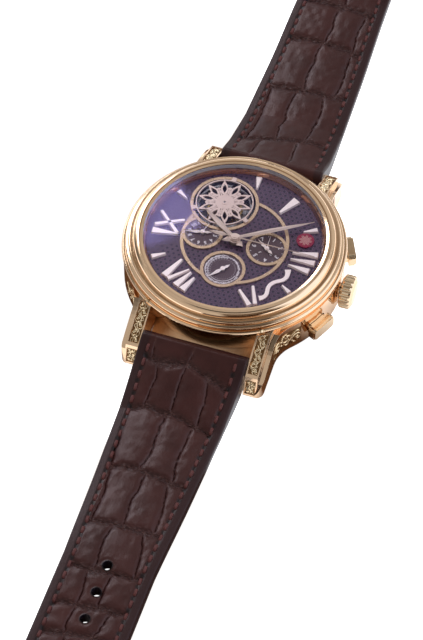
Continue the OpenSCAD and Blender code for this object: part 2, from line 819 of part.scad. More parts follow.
// The bridge over the tourbillon: a plain plaque in a wheel of pierced leaves and scrolls,
// carried by three feet on the dial's ring
module filigree_bridge() {
  rim = tour_open_r - 0.55;
  color("#e6bfa0")
    translate([tour_c[0], tour_c[1], 0]) {
      translate([0, 0, filigree_z])
        linear_extrude(filigree_t)
          difference() {
            union() {
              circle(r = plaque_r);
              for (i = [0:leaf_count - 1])
                rotate(i * 360 / leaf_count) {
                  translate([plaque_r - 0.3, 0])
                    leaf(rim - plaque_r + 0.2, 1.55);
                  rotate(180 / leaf_count)
                    translate([plaque_r - 0.25, 0]) {
                      translate([0, -0.14])
                        square([2.3, 0.28]);
                      for (m = [0, 1])
                        mirror([0, m])
                          translate([2.2, 0.1])
                            rotate(20)
                              scroll(0.62, 420, 0.26);
                    }
                }
              difference() {
                circle(r = rim + 0.1);
                circle(r = rim - 0.16);
              }
              for (i = [0:2])
                rotate(i * 120 + 90)
                  translate([rim - 0.1, -0.45])
                    square([1.1, 0.9]);
            }
            circle(d = jewel_d);
          }
      for (i = [0:2])
        rotate(i * 120 + 90)
          translate([tour_open_r + 0.12, -0.45, dial_z + ring_t])
            cube([0.3, 0.9, filigree_z - dial_z - ring_t + 0.1]);
      translate([0, 0, filigree_z])
        ring(jewel_d / 2 + 0.01, 0.2 + run_gap, filigree_t + 0.05);
    }
}

// Movement

module bore_at(p, r, z = 0, h = 20) {
  translate([p[0], p[1], z])
    cylinder(r = r, h = h);
}

module main_plate() {
  color(steel)
    difference() {
      union() {
        translate([0, 0, plate_z])
          cylinder(r = plate_r, h = plate_top - plate_z);
        translate([0, 0, plate_z])
          ring(plate_r, plate_r - 1, dial_low - plate_z);
        bore_at(tour_c, tour_open_r + 0.5, cup_floor, plate_top - cup_floor);
      }
      bore_at(tour_c, tour_open_r, cup_floor + cup_t);
      bore_at(tour_c, 0.55 + run_gap);
      bore_at([0, 0], 0.4 + run_gap);
      bore_at(third_c, 0.2 + run_gap);
      bore_at(barrel_c, 0.5 + run_gap);
      bore_at(minute_c, 0.25 + run_gap);
      for (p = [side_c[0], side_c[1], low_c])
        bore_at(p, 0.4 + run_gap);
    }
}

// Outer ring segment that carries a bridge on the main plate, from angle a0 to a1
module bridge_wall(a0, a1) {
  r0 = plate_r - 2.2;
  r1 = plate_r - 0.4;
  translate([0, 0, bridge_z])
    linear_extrude(plate_z - bridge_z)
      polygon(concat(arc(r1, a0, a1, 12), arc(r0, a1, a0, 12)));
}

module bridge(k) {
  a0 = split[k][0];
  a1 = split[k][1];
  difference() {
    union() {
      translate([0, 0, bridge_z])
        linear_extrude(bridge_t)
          polygon(concat(arc(plate_r - 0.4, a0, a1, 30),
            [polar(plate_r * (k == 0 ? 0.135 : 0.175), 257)]));
      for (a = screw_a[k])
        bridge_wall(a - 9, a + 9);
    }
    for (a = screw_a[k])
      bore_at(polar(screw_r, a), screw_hole_d / 2 + seat_gap);
    for (a = screw_a[k])
      bore_at(polar(screw_r, a), screw_d / 2 + 0.02, bridge_z - 1, 1.4);
    bore_at(third_c, 0.2 + run_gap);
    bore_at(tour_c, 0.25 + run_gap);
    bore_at(barrel_c, 0.5 + run_gap);
    bore_at([0, 0], 0.4 + run_gap);
  }
}

module barrel_bridge() {
  color(steel)
    bridge(1);
}

module train_bridge() {
  color(steel)
    bridge(0);
}

module bridge_screws() {
  color("#3b4a78")
    for (k = [0, 1])
      for (a = screw_a[k])
        translate([screw_r * cos(a), screw_r * sin(a), 0]) {
          difference() {
            translate([0, 0, bridge_z + 0.02])
              cylinder(d = screw_d, h = 0.38);
            rotate(a)
              translate([-1, -0.08, bridge_z - 1])
                cube([2, 0.16, 1.15]);
          }
          translate([0, 0, bridge_z + 0.4])
            cylinder(d = screw_hole_d, h = plate_z - bridge_z - 0.4);
        }
}

module arbor(p, r, z0, z1) {
  translate([p[0], p[1], z0])
    cylinder(r = r, h = z1 - z0);
}

module barrel() {
  color("#c9a24b") {
    translate([barrel_c[0], barrel_c[1], third_z + 0.9])
      linear_extrude(0.4)
        teeth(barrel_teeth, barrel_m, barrel_a + 180);
    arbor(barrel_c, barrel_r - 0.6, centre_z + 0.35, plate_z - 0.15);
    arbor(barrel_c, 0.5, bridge_z, plate_z + 0.8);
  }
}

module centre_wheel() {
  color("#c9a24b")
    difference() {
      union() {
        translate([0, 0, centre_z])
          spoked_wheel(centre_teeth, train_m, 0.25, 1.1, 5, direction(third_c));
        translate([0, 0, third_z + 0.8])
          linear_extrude(0.7)
            teeth(barrel_pinion, barrel_m, barrel_a + 180 / barrel_pinion);
        arbor([0, 0], 0.4, bridge_z + 0.1, plate_top + 1.2);
      }
      bore_at([0, 0], 0.18 + run_gap);
    }
}

module third_wheel() {
  to_cage = direction(tour_c - third_c);
  color("#c9a24b") {
    translate([third_c[0], third_c[1], third_z])
      spoked_wheel(third_teeth, train_m, 0.22, 0.9, 5, to_cage);
    translate([third_c[0], third_c[1], third_z + 0.1])
      linear_extrude(0.8)
        teeth(pinion_leaves, train_m, direction(third_c) + 180 + 180 / pinion_leaves);
    arbor(third_c, 0.2, bridge_z, cup_floor + cup_t);
  }
}

module minute_wheel() {
  color("#c9a24b") {
    translate([minute_c[0], minute_c[1], plate_top + 0.15])
      linear_extrude(0.2)
        teeth(36, minute_m, minute_a + 180);
    translate([minute_c[0], minute_c[1], plate_top + 0.3])
      linear_extrude(0.75)
        teeth(10, hour_m, minute_a + 180);
    arbor(minute_c, 0.25, plate_z, dial_low - 0.05);
  }
}

module rotor_bearing() {
  color(steel) {
    difference() {
      arbor([0, 0], 1, bridge_z - 1.25, bridge_z);
      bore_at([0, 0], 0.3);
    }
    translate([0, 0, bridge_z - 1.4])
      ring(1.5, 0.3, 0.15);
  }
}

module rotor() {
  color("#d9b08c")
    difference() {
      translate([0, 0, bridge_z - 1.2])
        union() {
          difference() {
            cylinder(r = rotor_r, h = 0.95);
            translate([0, 0, 0.35])
              cylinder(r = rotor_r - 2.5, h = 1);
            translate([-case_r, 0, -1])
              cube([2 * case_r, case_r, 3]);
            for (i = [0:4])
              rotate(210 + 30 * i)
                translate([rotor_r * 0.54, 0, -1])
                  cylinder(r = rotor_r * 0.114, h = 3);
          }
          cylinder(r = 2.4, h = 0.95);
        }
      bore_at([0, 0], 1 + run_gap);
    }
}

// Tourbillon

// Three arms and a rim; the arms lie at a plus thirds of a turn
module cage_plate(z, h, a, hub) {
  translate([0, 0, z])
    linear_extrude(h) {
      difference() {
        circle(r = cage_r);
        circle(r = cage_r - 0.45);
      }
      circle(r = hub);
      for (i = [0:2])
        rotate(a + i * 120)
          translate([0, -0.35])
            square([cage_r - 0.2, 0.7]);
    }
}

module cage_lower() {
  escape_plate = [polar(cage_r - 0.05, 96), polar(2.0, 55), polar(1.8, 30), polar(2.0, 5),
    polar(cage_r - 0.05, 324), polar(cage_r - 0.05, 335), polar(escape_far + 0.55, 26),
    polar(escape_far + 0.55, 34), polar(cage_r - 0.05, 85)];
  color("#c8ccd2")
    translate([tour_c[0], tour_c[1], 0])
      difference() {
        union() {
          cage_plate(cage_z, 0.25, escape_a, 0.9);
          for (a = pillar_a)
            arbor(polar(cage_r - 0.35, a), 0.25, cage_z, cage_top);
          translate([0, 0, cage_z + 1.15])
            linear_extrude(0.2)
              polygon(escape_plate);
          arbor([0, 0], 0.55, cup_floor - 0.2, cage_z + 0.1);
          translate([0, 0, third_z - 0.1])
            linear_extrude(cup_floor - third_z - 0.1)
              teeth(pinion_leaves, train_m,
                direction(third_c - tour_c) + 180 / pinion_leaves);
          arbor([0, 0], 0.25, bridge_z + 0.1, third_z);
        }
        arbor([0, 0], staff_r + run_gap, cage_z, cage_z + 1);
        arbor(escape_c, staff_r + run_gap, cage_z - 1, cage_z + 2);
        arbor(polar(pallet_far, escape_a), staff_r + run_gap, cage_z + 0.05, cage_z + 2);
      }
}

module cage_upper() {
  color("#c8ccd2")
    translate([tour_c[0], tour_c[1], 0]) {
      difference() {
        cage_plate(cage_top, 0.25, pillar_a[0], 0.8);
        arbor([0, 0], staff_r + run_gap, cage_top - 1, cage_top + 0.18);
      }
      arbor([0, 0], 0.2, cage_top + 0.2, filigree_z + filigree_t);
      arbor([0, 0], 0.45, cage_top + 0.2, cage_top + 0.6);
      for (a = pillar_a)
        arbor(polar(cage_r - 0.35, a), 0.32, cage_top + 0.2, cage_top + 0.4);
      arbor(polar(2.75, pillar_a[0]), 0.2, balance_z + 0.9, cage_top + 0.1);
    }
}

module balance_wheel() {
  color("#c9a24b")
    translate([tour_c[0], tour_c[1], 0]) {
      translate([0, 0, balance_z])
        ring(balance_r - 0.1, balance_r - 0.5, 0.55);
      translate([0, 0, balance_z + 0.1])
        linear_extrude(0.25) {
          circle(r = 0.6);
          for (i = [0:2])
            rotate(i * 120)
              translate([0, -0.18])
                square([balance_r - 0.3, 0.36]);
        }
      for (i = [0:11])
        rotate(i * 30 + 15)
          translate([balance_r - 0.35, 0, balance_z + 0.28])
            rotate([0, 90, 0])
              cylinder(r = 0.2, h = 0.45);
      arbor([0, 0], staff_r, cage_z + 0.05, cage_top + 0.15);
      arbor([0, 0], 0.3, cage_z + 0.4, cage_z + 0.9);
      arbor([0, 0], 0.35, balance_z + 0.8, balance_z + 1.1);
    }
}

module hairspring() {
  turns = spring_turns;
  steps = 20;
  n = turns * steps;
  half = 0.035;
  function at(i, side) = polar(lerp(0.4, 2.45, i / n) + side * half, 90 + i * 360 / steps);
  color("#5d6fa5")
    translate([tour_c[0], tour_c[1], balance_z + 0.88])
      linear_extrude(0.14)
        polygon(concat([for (i = [0:n]) at(i, 1)], reversed([for (i = [0:n]) at(i, -1)])));
}

module escape_wheel() {
  count = 15;
  root = escape_r - 0.38;
  color("#c9a24b")
    translate([tour_c[0] + escape_c[0], tour_c[1] + escape_c[1], 0]) {
      translate([0, 0, cage_z + 0.72])
        linear_extrude(0.14)
          difference() {
            polygon([for (i = [0:count - 1]) let (a = i * 360 / count)
              for (k = [[root, 1], [escape_r, 9], [escape_r, 11.5], [root, 7.5]])
                polar(k[0], a + k[1])]);
            difference() {
              circle(r = root - 0.16);
              circle(r = 0.35);
              for (i = [0:3])
                rotate(i * 90)
                  translate([0, -0.07])
                    square([root, 0.14]);
            }
          }
      translate([0, 0, cup_floor + cup_t + 0.04])
        linear_extrude(0.28)
          teeth(escape_leaves, tour_m, escape_a + 180 + 180 / escape_leaves);
      arbor([0, 0], staff_r, cup_floor + cup_t + 0.04, cage_z + 1.3);
    }
}

module fixed_wheel() {
  color("#c9a24b")
    translate([tour_c[0], tour_c[1], cup_floor + cup_t])
      linear_extrude(0.22)
        difference() {
          teeth(fixed_teeth, tour_m, escape_a);
          circle(r = 1.6);
        }
}

module pallet_fork() {
  stone = escape_r * tan(30) + 0.1;
  far = pallet_far - 0.62;
  color("#b03a4a")
    translate([tour_c[0], tour_c[1], 0])
      rotate(escape_a)
        translate([pallet_far, 0, 0]) {
          translate([0, 0, cage_z + 0.7])
            linear_extrude(0.18)
              polygon([[0.16, -0.2], [0.34, -stone - 0.05], [0.5, -stone - 0.05], [0.42, -0.1],
                [0.42, 0.1], [0.5, stone + 0.05], [0.34, stone + 0.05], [0.16, 0.2],
                [-0.25, 0.1], [-far + 0.25, 0.08], [-far, 0.24], [-far, 0.1],
                [-far + 0.2, 0.04], [-far + 0.2, -0.04], [-far, -0.1], [-far, -0.24],
                [-far + 0.25, -0.08], [-0.25, -0.1]]);
          arbor([0, 0], staff_r, cage_z + 0.1, cage_z + 1.3);
        }
}

// Hands

// Clock angle a turned to the drawing's axis, at height z
module hand_at(p, a, z) {
  translate([p[0], p[1], z])
    rotate(90 - a)
      children();
}

module tube(p, r_out, r_in, z0, z1) {
  translate([p[0], p[1], z0])
    ring(r_out, r_in, z1 - z0);
}

module hour_hand() {
  color(pink) {
    hand_at([0, 0], hour_a, hour_z) {
      translate([1.1, 0, 0])
        blade([[0, 0.42], [4.2, 0.62], [hour_len - 2.1, 0.3], [hour_len - 1.1, 0.06]], hand_t);
      rotate(180)
        translate([1.1, 0, 0])
          blade([[0, 0.3], [0.4, 0.75], [1.5, 0.05]], hand_t);
    }
    tube([0, 0], 1.25, 0.75, hour_z, hour_z + hand_t);
    tube([0, 0], 1, 0.75, plate_top + 0.7, hour_z + 0.05);
    translate([0, 0, plate_top + 0.7])
      linear_extrude(0.2)
        difference() {
          teeth(40, hour_m, minute_a + 180 / 40);
          circle(r = 0.75);
        }
  }
}

module minute_hand() {
  color(pink) {
    hand_at([0, 0], minute_hand_a, minute_z) {
      translate([0.8, 0, 0])
        blade([[0, 0.35], [7, 0.55], [minute_len - 4, 0.3], [minute_len - 0.8, 0.05]], hand_t);
      rotate(180)
        translate([0.8, 0, 0])
          blade([[0, 0.25], [0.5, 0.7], [1.8, 0.05]], hand_t);
    }
    tube([0, 0], 0.95, 0.43, minute_z, minute_z + hand_t);
    tube([0, 0], 0.75 - run_gap, 0.43, plate_top + 0.1, minute_z + 0.05);
    translate([0, 0, plate_top + 0.1])
      linear_extrude(0.35)
        difference() {
          teeth(12, minute_m, minute_a + 180 / 12);
          circle(r = 0.5);
        }
  }
}

module seconds_hand() {
  color(pink) {
    hand_at([0, 0], seconds_a, seconds_z) {
      translate([0.3, 0, 0])
        blade([[0, 0.17], [seconds_len - 0.3, 0.06]], hand_t - 0.04);
      rotate(180)
        translate([0.3, 0, 0])
          blade([[0, 0.14], [1.3, 0.12], [2.2, 0.52], [3.4, 0.44], [seconds_tail - 0.3, 0.05]],
            hand_t - 0.04);
    }
    arbor([0, 0], 0.75, seconds_z, seconds_z + 0.14);
    arbor([0, 0], 0.42, seconds_z + 0.1, seconds_z + 0.26);
    arbor([0, 0], 0.18, bridge_z + 0.1, seconds_z + 0.1);
  }
}

// Broad hand of a sub-dial, with a leaf-shaped tail, on a pipe or a solid arbor
module sub_hand(p, a, len, tail, bore) {
  color(pink) {
    hand_at(p, a, low_hand_z) {
      translate([0.3, 0, 0])
        blade([[0, 0.2], [0.9, 0.42], [len - 1.3, 0.14], [len - 0.3, 0.04]], hand_t);
      rotate(180)
        translate([0.3, 0, 0])
          blade([[0, 0.2], [0.7, 0.34], [tail - 0.3, 0.04]], hand_t);
    }
    tube(p, 0.48, bore, low_hand_z, low_hand_z + hand_t);
    tube(p, 0.4, bore, plate_z + 0.4, low_hand_z + 0.05);
  }
}

module needle(p, a) {
  color("#e6bfa0") {
    hand_at(p, a, needle_z)
      translate([0.1, 0, 0])
        blade([[0, 0.09], [needle_len - 0.1, 0.03]], 0.1);
    arbor(p, 0.3, needle_z, needle_z + 0.14);
    arbor(p, 0.16, plate_z + 0.5, needle_z + 0.05);
  }
}

module left_subdial_hand() {
  sub_hand(side_c[0], 257, left_hand_len, 1.9, 0.16 + run_gap);
}

module left_needle() {
  needle(side_c[0], 18);
}

module right_subdial_hand() {
  sub_hand(side_c[1], 306, right_hand_len, 1.85, 0.16 + run_gap);
}

module right_needle() {
  needle(side_c[1], -3);
}

module bottom_subdial_hand() {
  sub_hand(low_c, 218.5, low_hand_len, 1.7, 0.05);
}

// Crown and pushers

module crown() {
  r = crown_d / 2;
  color(pink)
    translate([crown_x, 0, stem_z])
      rotate([0, 90, 0])
        difference() {
          rotate_extrude()
            polygon(concat([[0, 0], [r - 0.55, 0], [r - 0.1, 0.25], [r, 0.6], [r, crown_len - 0.9],
              [r - 0.2, crown_len - 0.55], [r - 0.75, crown_len - 0.3]],
              [for (i = [0:5]) [(r - 1.1) * (1 - i / 5), crown_len - 0.12 + 0.12 * sin(18 * i)]]));
          for (i = [0:crown_flutes - 1])
            rotate(i * 360 / crown_flutes)
              translate([r + 0.06, 0, -1])
                cylinder(r = 0.33, h = crown_len + 2, $fn = 24);
          translate([0, 0, -1])
            cylinder(d = tube_d + 0.4, h = 1.9);
          cylinder(d = stem_d + 0.02, h = 1.8);
        }
}

module winding_stem() {
  color(steel)
    translate([10, 0, stem_z])
      rotate([0, 90, 0])
        cylinder(d = stem_d, h = crown_x + 1.8 - 10);
}

module winding_pinion() {
  color(steel)
    translate([11.2, 0, stem_z])
      rotate([0, 90, 0])
        linear_extrude(2.2)
          difference() {
            teeth(16, 0.11);
            circle(r = stem_d / 2 + run_gap);
          }
}

module pusher(side) {
  color(pink)
    pusher_place(side) {
      translate([0, 0, pusher_r])
        rounded_block(pusher_w, pusher_h, pusher_len - 0.35, 0.9);
      translate([0, 0, pusher_r])
        rounded_block(pusher_w - 0.5, pusher_h - 0.5, pusher_len, 0.7);
      translate([0, 0, pusher_floor + pusher_travel + 0.05])
        rounded_block(neck_w, neck_h, pusher_r - pusher_floor - pusher_travel, 0.7);
      translate([0, 0, plate_r + pusher_travel + 0.05])
        cylinder(d = pusher_stem_d, h = pusher_floor - plate_r + 0.5);
    }
}

module upper_pusher() {
  pusher(1);
}

module lower_pusher() {
  pusher(-1);
}

// Strap

module spring_bars() {
  color(steel)
    for (s = [-1, 1])
      translate([0, s * bar_y, bar_z])
        rotate([0, 90, 0]) {
          cylinder(d = bar_d, h = strap_w - 0.6, center = true);
          cylinder(d = bar_d - 0.5, h = lug_gap - 0.1, center = true);
          cylinder(d = bar_pin_d, h = lug_gap + 2 * bar_pin_in, center = true);
        }
}

// Heights at distance s from the spring bar: the underside, and the end's lift
function lift(s, h) = h * smooth((s - lift_from) / (lift_to - lift_from));
function under(s, h) = lerp(rest_lift, end_low, pow(1 - clamp(s / 9), 2)) + lift(s, h);

// Upper edge from the roll to where the strap lies flat, then along to the end
function strap_upper_edge(end, h) = concat(
  bezier([0.2, strap_top], [4.2, rest_lift + 5.3], [flat_from, rest_lift + strap_t], 10),
  [for (i = [1:24]) let (s = lerp(flat_from, end, i / 24)) [s, rest_lift + strap_t + lift(s, h)]]);
function strap_low_edge(from, end, h, add) =
  [for (i = [0:32]) let (s = lerp(from, end, pow(i / 32, 1.4))) [s, under(s, h) + add]];
function roll() = [for (i = [0:10]) let (a = 270 - 18 * i)
  [roll_reach * cos(a), roll_mid + roll_half * sin(a)]];

// Half width of the strap at distance s; it narrows evenly to taper_to
function strap_half_at(s, taper_to) = lerp(strap_half, tail_half, clamp((s - 5) / (taper_to - 5)));

// The strap's outline from above
module strap_plan(end, taper_to, tip) {
  half = concat([[-5, strap_half], [5, strap_half], [taper_to, tail_half]],
    tip == 0 ? [[end + 5, tail_half]] :
    [for (i = [0:12]) let (a = 90 * i / 12) [end - tip + tip * sin(a), tail_half * sqrt(cos(a))]]);
  translate([0, 0, -2])
    linear_extrude(20)
      polygon(concat([for (q = half) [q[1], q[0]]], reversed([for (q = half) [-q[1], q[0]]])));
}

module strap_side(outline) {
  translate([-strap_half - 1, 0, 0])
    rotate([90, 0, 90])
      linear_extrude(strap_w + 2)
        polygon(outline);
}

// Move from the spring bar of one side into place: 1 for the twelve o'clock half, -1 for six
module from_bar(side) {
  mirror([0, side < 0 ? 1 : 0, 0])
    translate([0, bar_y, 0])
      children();
}

module bar_bore() {
  translate([0, 0, bar_z])
    rotate([0, 90, 0])
      cylinder(d = bar_d + 2 * run_gap, h = strap_w + 2, center = true);
}

module strap_holes() {
  for (i = [0:hole_count - 1])
    translate([0, hole_first + i * hole_pitch, -1])
      cylinder(d = hole_d, h = 8);
}

module strap_upper() {
  color(umber)
    from_bar(1)
      difference() {
        intersection() {
          strap_side(concat(roll(), strap_upper_edge(upper_len, end_lift),
            arc(strap_t / 2, 72, -90, 9, [upper_len, buckle_bar_z]),
            reversed(strap_low_edge(lining_start, upper_len - 6, end_lift, lining_t)),
            [[lining_start - 0.02, under(lining_start, 0)]]));
          strap_plan(upper_len, upper_taper, 0);
        }
        bar_bore();
        translate([0, upper_len, buckle_bar_z])
          rotate([0, 90, 0])
            cylinder(d = buckle_bar_d + 2 * run_gap, h = strap_w, center = true);
        translate([-tongue_w / 2 - 0.5, upper_len - 5, 0])
          cube([tongue_w + 1, 10, 10]);
      }
}

module lining_upper() {
  end = upper_len - 6;
  color("#8a5a3c")
    from_bar(1)
      intersection() {
        strap_side(concat(strap_low_edge(lining_start, end, end_lift, 0),
          reversed(strap_low_edge(lining_start, end, end_lift, lining_t))));
        strap_plan(upper_len, upper_taper, 0);
      }
}

module strap_lower() {
  color(umber)
    from_bar(-1)
      difference() {
        intersection() {
          strap_side(concat(roll(), strap_upper_edge(lower_len + 5, tail_lift),
            reversed(strap_low_edge(lining_start, lower_len + 5, tail_lift, lining_t)),
            [[lining_start - 0.02, under(lining_start, 0)]]));
          strap_plan(lower_len, lower_taper, 12);
        }
        bar_bore();
        strap_holes();
      }
}

module lining_lower() {
  color("#8a5a3c")
    from_bar(-1)
      difference() {
        intersection() {
          strap_side(concat(strap_low_edge(lining_start, lower_len + 5, tail_lift, 0),
            reversed(strap_low_edge(lining_start, lower_len + 5, tail_lift, lining_t))));
          strap_plan(lower_len, lower_taper, 12);
        }
        strap_holes();
      }
}

// Rounded rectangle from z0 to z1, half wide each way, as points
function round_rect(half, z0, z1, r) = concat(
  arc(r, 0, 90, 5, [half - r, z1 - r]), arc(r, 90, 180, 5, [r - half, z1 - r]),
  arc(r, 180, 270, 5, [r - half, z0 + r]), arc(r, 270, 360, 5, [half - r, z0 + r]));

// Loop of leather round both halves of the strap
module keeper(far, half) {
  low = rest_lift + end_lift - 0.1;
  high = rest_lift + end_lift + 2 * strap_t + 0.4;
  color(umber)
    from_bar(1)
      translate([0, far + keeper_w / 2, 0])
        rotate([90, 0, 0])
          linear_extrude(keeper_w)
            difference() {
              polygon(round_rect(half + keeper_t, low - keeper_t, high + keeper_t, 1.3));
              polygon(round_rect(half, low, high, 0.3));
            }
}

module fixed_keeper() {
  keeper(keeper_far[0], strap_half_at(keeper_far[0] - keeper_w / 2, upper_taper) + 0.1);
}

module free_keeper() {
  keeper(keeper_far[1], strap_half_at(keeper_far[1] - keeper_w / 2 - 4, upper_taper) + 0.1);
}

// Buckle

module buckle_bar() {
  color(steel)
    from_bar(1)
      translate([0, upper_len, buckle_bar_z])
        rotate([0, 90, 0])
          cylinder(d = buckle_bar_d, h = 2 * frame_in + 2 * buckle_side - 1, center = true);
}

// The frame curves down from the bar to the table
module buckle_frame() {
  top = bezier([upper_len, buckle_bar_z + buckle_t / 2],
    [upper_len + 6, buckle_bar_z + buckle_t / 2 + 0.9], [frame_end, buckle_t + 0.45], 8);
  bottom = bezier([upper_len, buckle_bar_z - buckle_t / 2],
    [upper_len + 6, buckle_bar_z - buckle_t / 2 + 0.5], [frame_end, 0.35], 8);
  color(pink)
    from_bar(1)
      difference() {
        intersection() {
          translate([-20, 0, 0])
            rotate([90, 0, 90])
              linear_extrude(40)
                polygon(concat(arc(buckle_t / 2, 100, 260, 6, [upper_len, buckle_bar_z]),
                  bottom, reversed(top)));
          translate([0, 0, -2])
            linear_extrude(20)
              difference() {
                polygon(concat([[frame_out, upper_len - 3], [frame_out, frame_end - 3]],
                  arc(2.9, 0, 80, 6, [frame_out - 2.9, frame_end - 3]),
                  arc(2.9, 100, 180, 6, [2.9 - frame_out, frame_end - 3]),
                  [[-frame_out, frame_end - 3], [-frame_out, upper_len - 3]]));
                translate([-frame_in, upper_len - 4])
                  square([2 * frame_in, frame_end - upper_len + 1.4]);
              }
        }
        translate([0, upper_len, buckle_bar_z])
          rotate([0, 90, 0])
            cylinder(d = buckle_bar_d + 2 * run_gap, h = 2 * frame_out - 0.9, center = true);
      }
}

module buckle_tongue() {
  top_z = buckle_t + 0.75;
  path = bezier([upper_len, buckle_bar_z + buckle_bar_d / 2 + 0.7],
    [upper_len + 6, buckle_bar_z + 2.9], [frame_end - 0.2, top_z + 0.9], 8);
  low = [for (q = path) q - [0, 0.9]];
  color(pink)
    from_bar(1)
      translate([-tongue_w / 2, 0, 0])
        rotate([90, 0, 90])
          linear_extrude(tongue_w)
            difference() {
              union() {
                polygon(concat(low, reversed(path)));
                translate([upper_len, buckle_bar_z])
                  circle(r = buckle_bar_d / 2 + 0.7);
              }
              translate([upper_len, buckle_bar_z])
                circle(r = buckle_bar_d / 2 + run_gap);
            }
}

case_middle();
bezel();
crystal();
crystal_gasket();
case_back();
case_back_gasket();
back_crystal();
crown_tube();
pusher_tubes();
flange_ring();
movement_ring();
dial();
hour_markers();
subdial_frame();
subdial_discs();
red_roundel();
ribbon_ornament();
tourbillon_ring();
filigree_bridge();
main_plate();
barrel_bridge();
train_bridge();
bridge_screws();
fixed_wheel();
barrel();
centre_wheel();
third_wheel();
minute_wheel();
rotor_bearing();
rotor();
cage_lower();
cage_upper();
balance_wheel();
hairspring();
escape_wheel();
pallet_fork();
hour_hand();
minute_hand();
seconds_hand();
left_subdial_hand();
left_needle();
right_subdial_hand();
right_needle();
bottom_subdial_hand();
crown();
winding_stem();
winding_pinion();
upper_pusher();
lower_pusher();
spring_bars();
strap_upper();
lining_upper();
strap_lower();
lining_lower();
fixed_keeper();
free_keeper();
buckle_bar();
buckle_frame();
buckle_tongue();
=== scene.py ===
import math
import bmesh
import bpy
import numpy as np
from mathutils import Matrix, Vector
from mathutils.bvhtree import BVHTree
from mathutils.kdtree import KDTree


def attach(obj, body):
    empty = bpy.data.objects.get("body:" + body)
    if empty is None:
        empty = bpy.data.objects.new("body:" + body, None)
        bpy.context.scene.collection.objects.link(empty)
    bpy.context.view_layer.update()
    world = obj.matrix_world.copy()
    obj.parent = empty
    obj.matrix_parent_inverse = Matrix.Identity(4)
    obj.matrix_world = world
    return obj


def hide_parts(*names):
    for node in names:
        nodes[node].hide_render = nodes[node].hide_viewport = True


# Sizes are in millimetres, as in the solid model, and MM turns them into metres
MM = 0.001
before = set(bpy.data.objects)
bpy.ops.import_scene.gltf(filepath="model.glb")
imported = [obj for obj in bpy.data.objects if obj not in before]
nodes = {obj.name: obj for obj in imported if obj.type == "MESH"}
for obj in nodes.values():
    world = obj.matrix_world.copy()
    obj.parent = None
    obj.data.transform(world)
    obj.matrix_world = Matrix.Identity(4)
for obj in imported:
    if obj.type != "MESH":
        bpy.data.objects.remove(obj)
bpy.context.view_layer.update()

# The camera's fit to the photograph: turn about Z, elevation, distance, aim, lens and sensor
CAMERA_TURN = math.radians(18.49)
CAMERA_RISE = math.radians(53.26)
CAMERA_FAR = 558.03
CAMERA_AIM = (-4.648, -9.126)
CAMERA_LENS = 153.54
CAMERA_SENSOR = 36
CAMERA_NEAREST, CAMERA_FARTHEST = 0.01, 10


def camera_axes():
    """Right, up and back of the camera as world directions"""
    c, s = math.cos(CAMERA_TURN), math.sin(CAMERA_TURN)
    away = Vector((-s, c, 0))
    top = Vector((0, 0, 1))
    right = Vector((c, s, 0))
    up = away * math.sin(CAMERA_RISE) + top * math.cos(CAMERA_RISE)
    back = top * math.sin(CAMERA_RISE) - away * math.cos(CAMERA_RISE)
    return right, up, back


def make_camera():
    right, up, back = camera_axes()
    data = bpy.data.cameras.new("camera")
    data.lens = CAMERA_LENS
    data.sensor_width = CAMERA_SENSOR
    data.clip_start = CAMERA_NEAREST
    data.clip_end = CAMERA_FARTHEST
    camera = bpy.data.objects.new("camera", data)
    camera.matrix_world = Matrix((right, up, back)).transposed().to_4x4()
    camera.location = (right * CAMERA_AIM[0] + up * CAMERA_AIM[1] + back * CAMERA_FAR) * MM
    bpy.context.scene.collection.objects.link(camera)
    bpy.context.scene.camera = camera


make_camera()


# Node trees

def colour(value):
    """A grey number or a tone as red, green, blue and alpha"""
    if isinstance(value, (int, float)):
        return (value, value, value, 1)
    return (*value, 1)


def dim(tone, share):
    return tuple(share * c for c in tone)


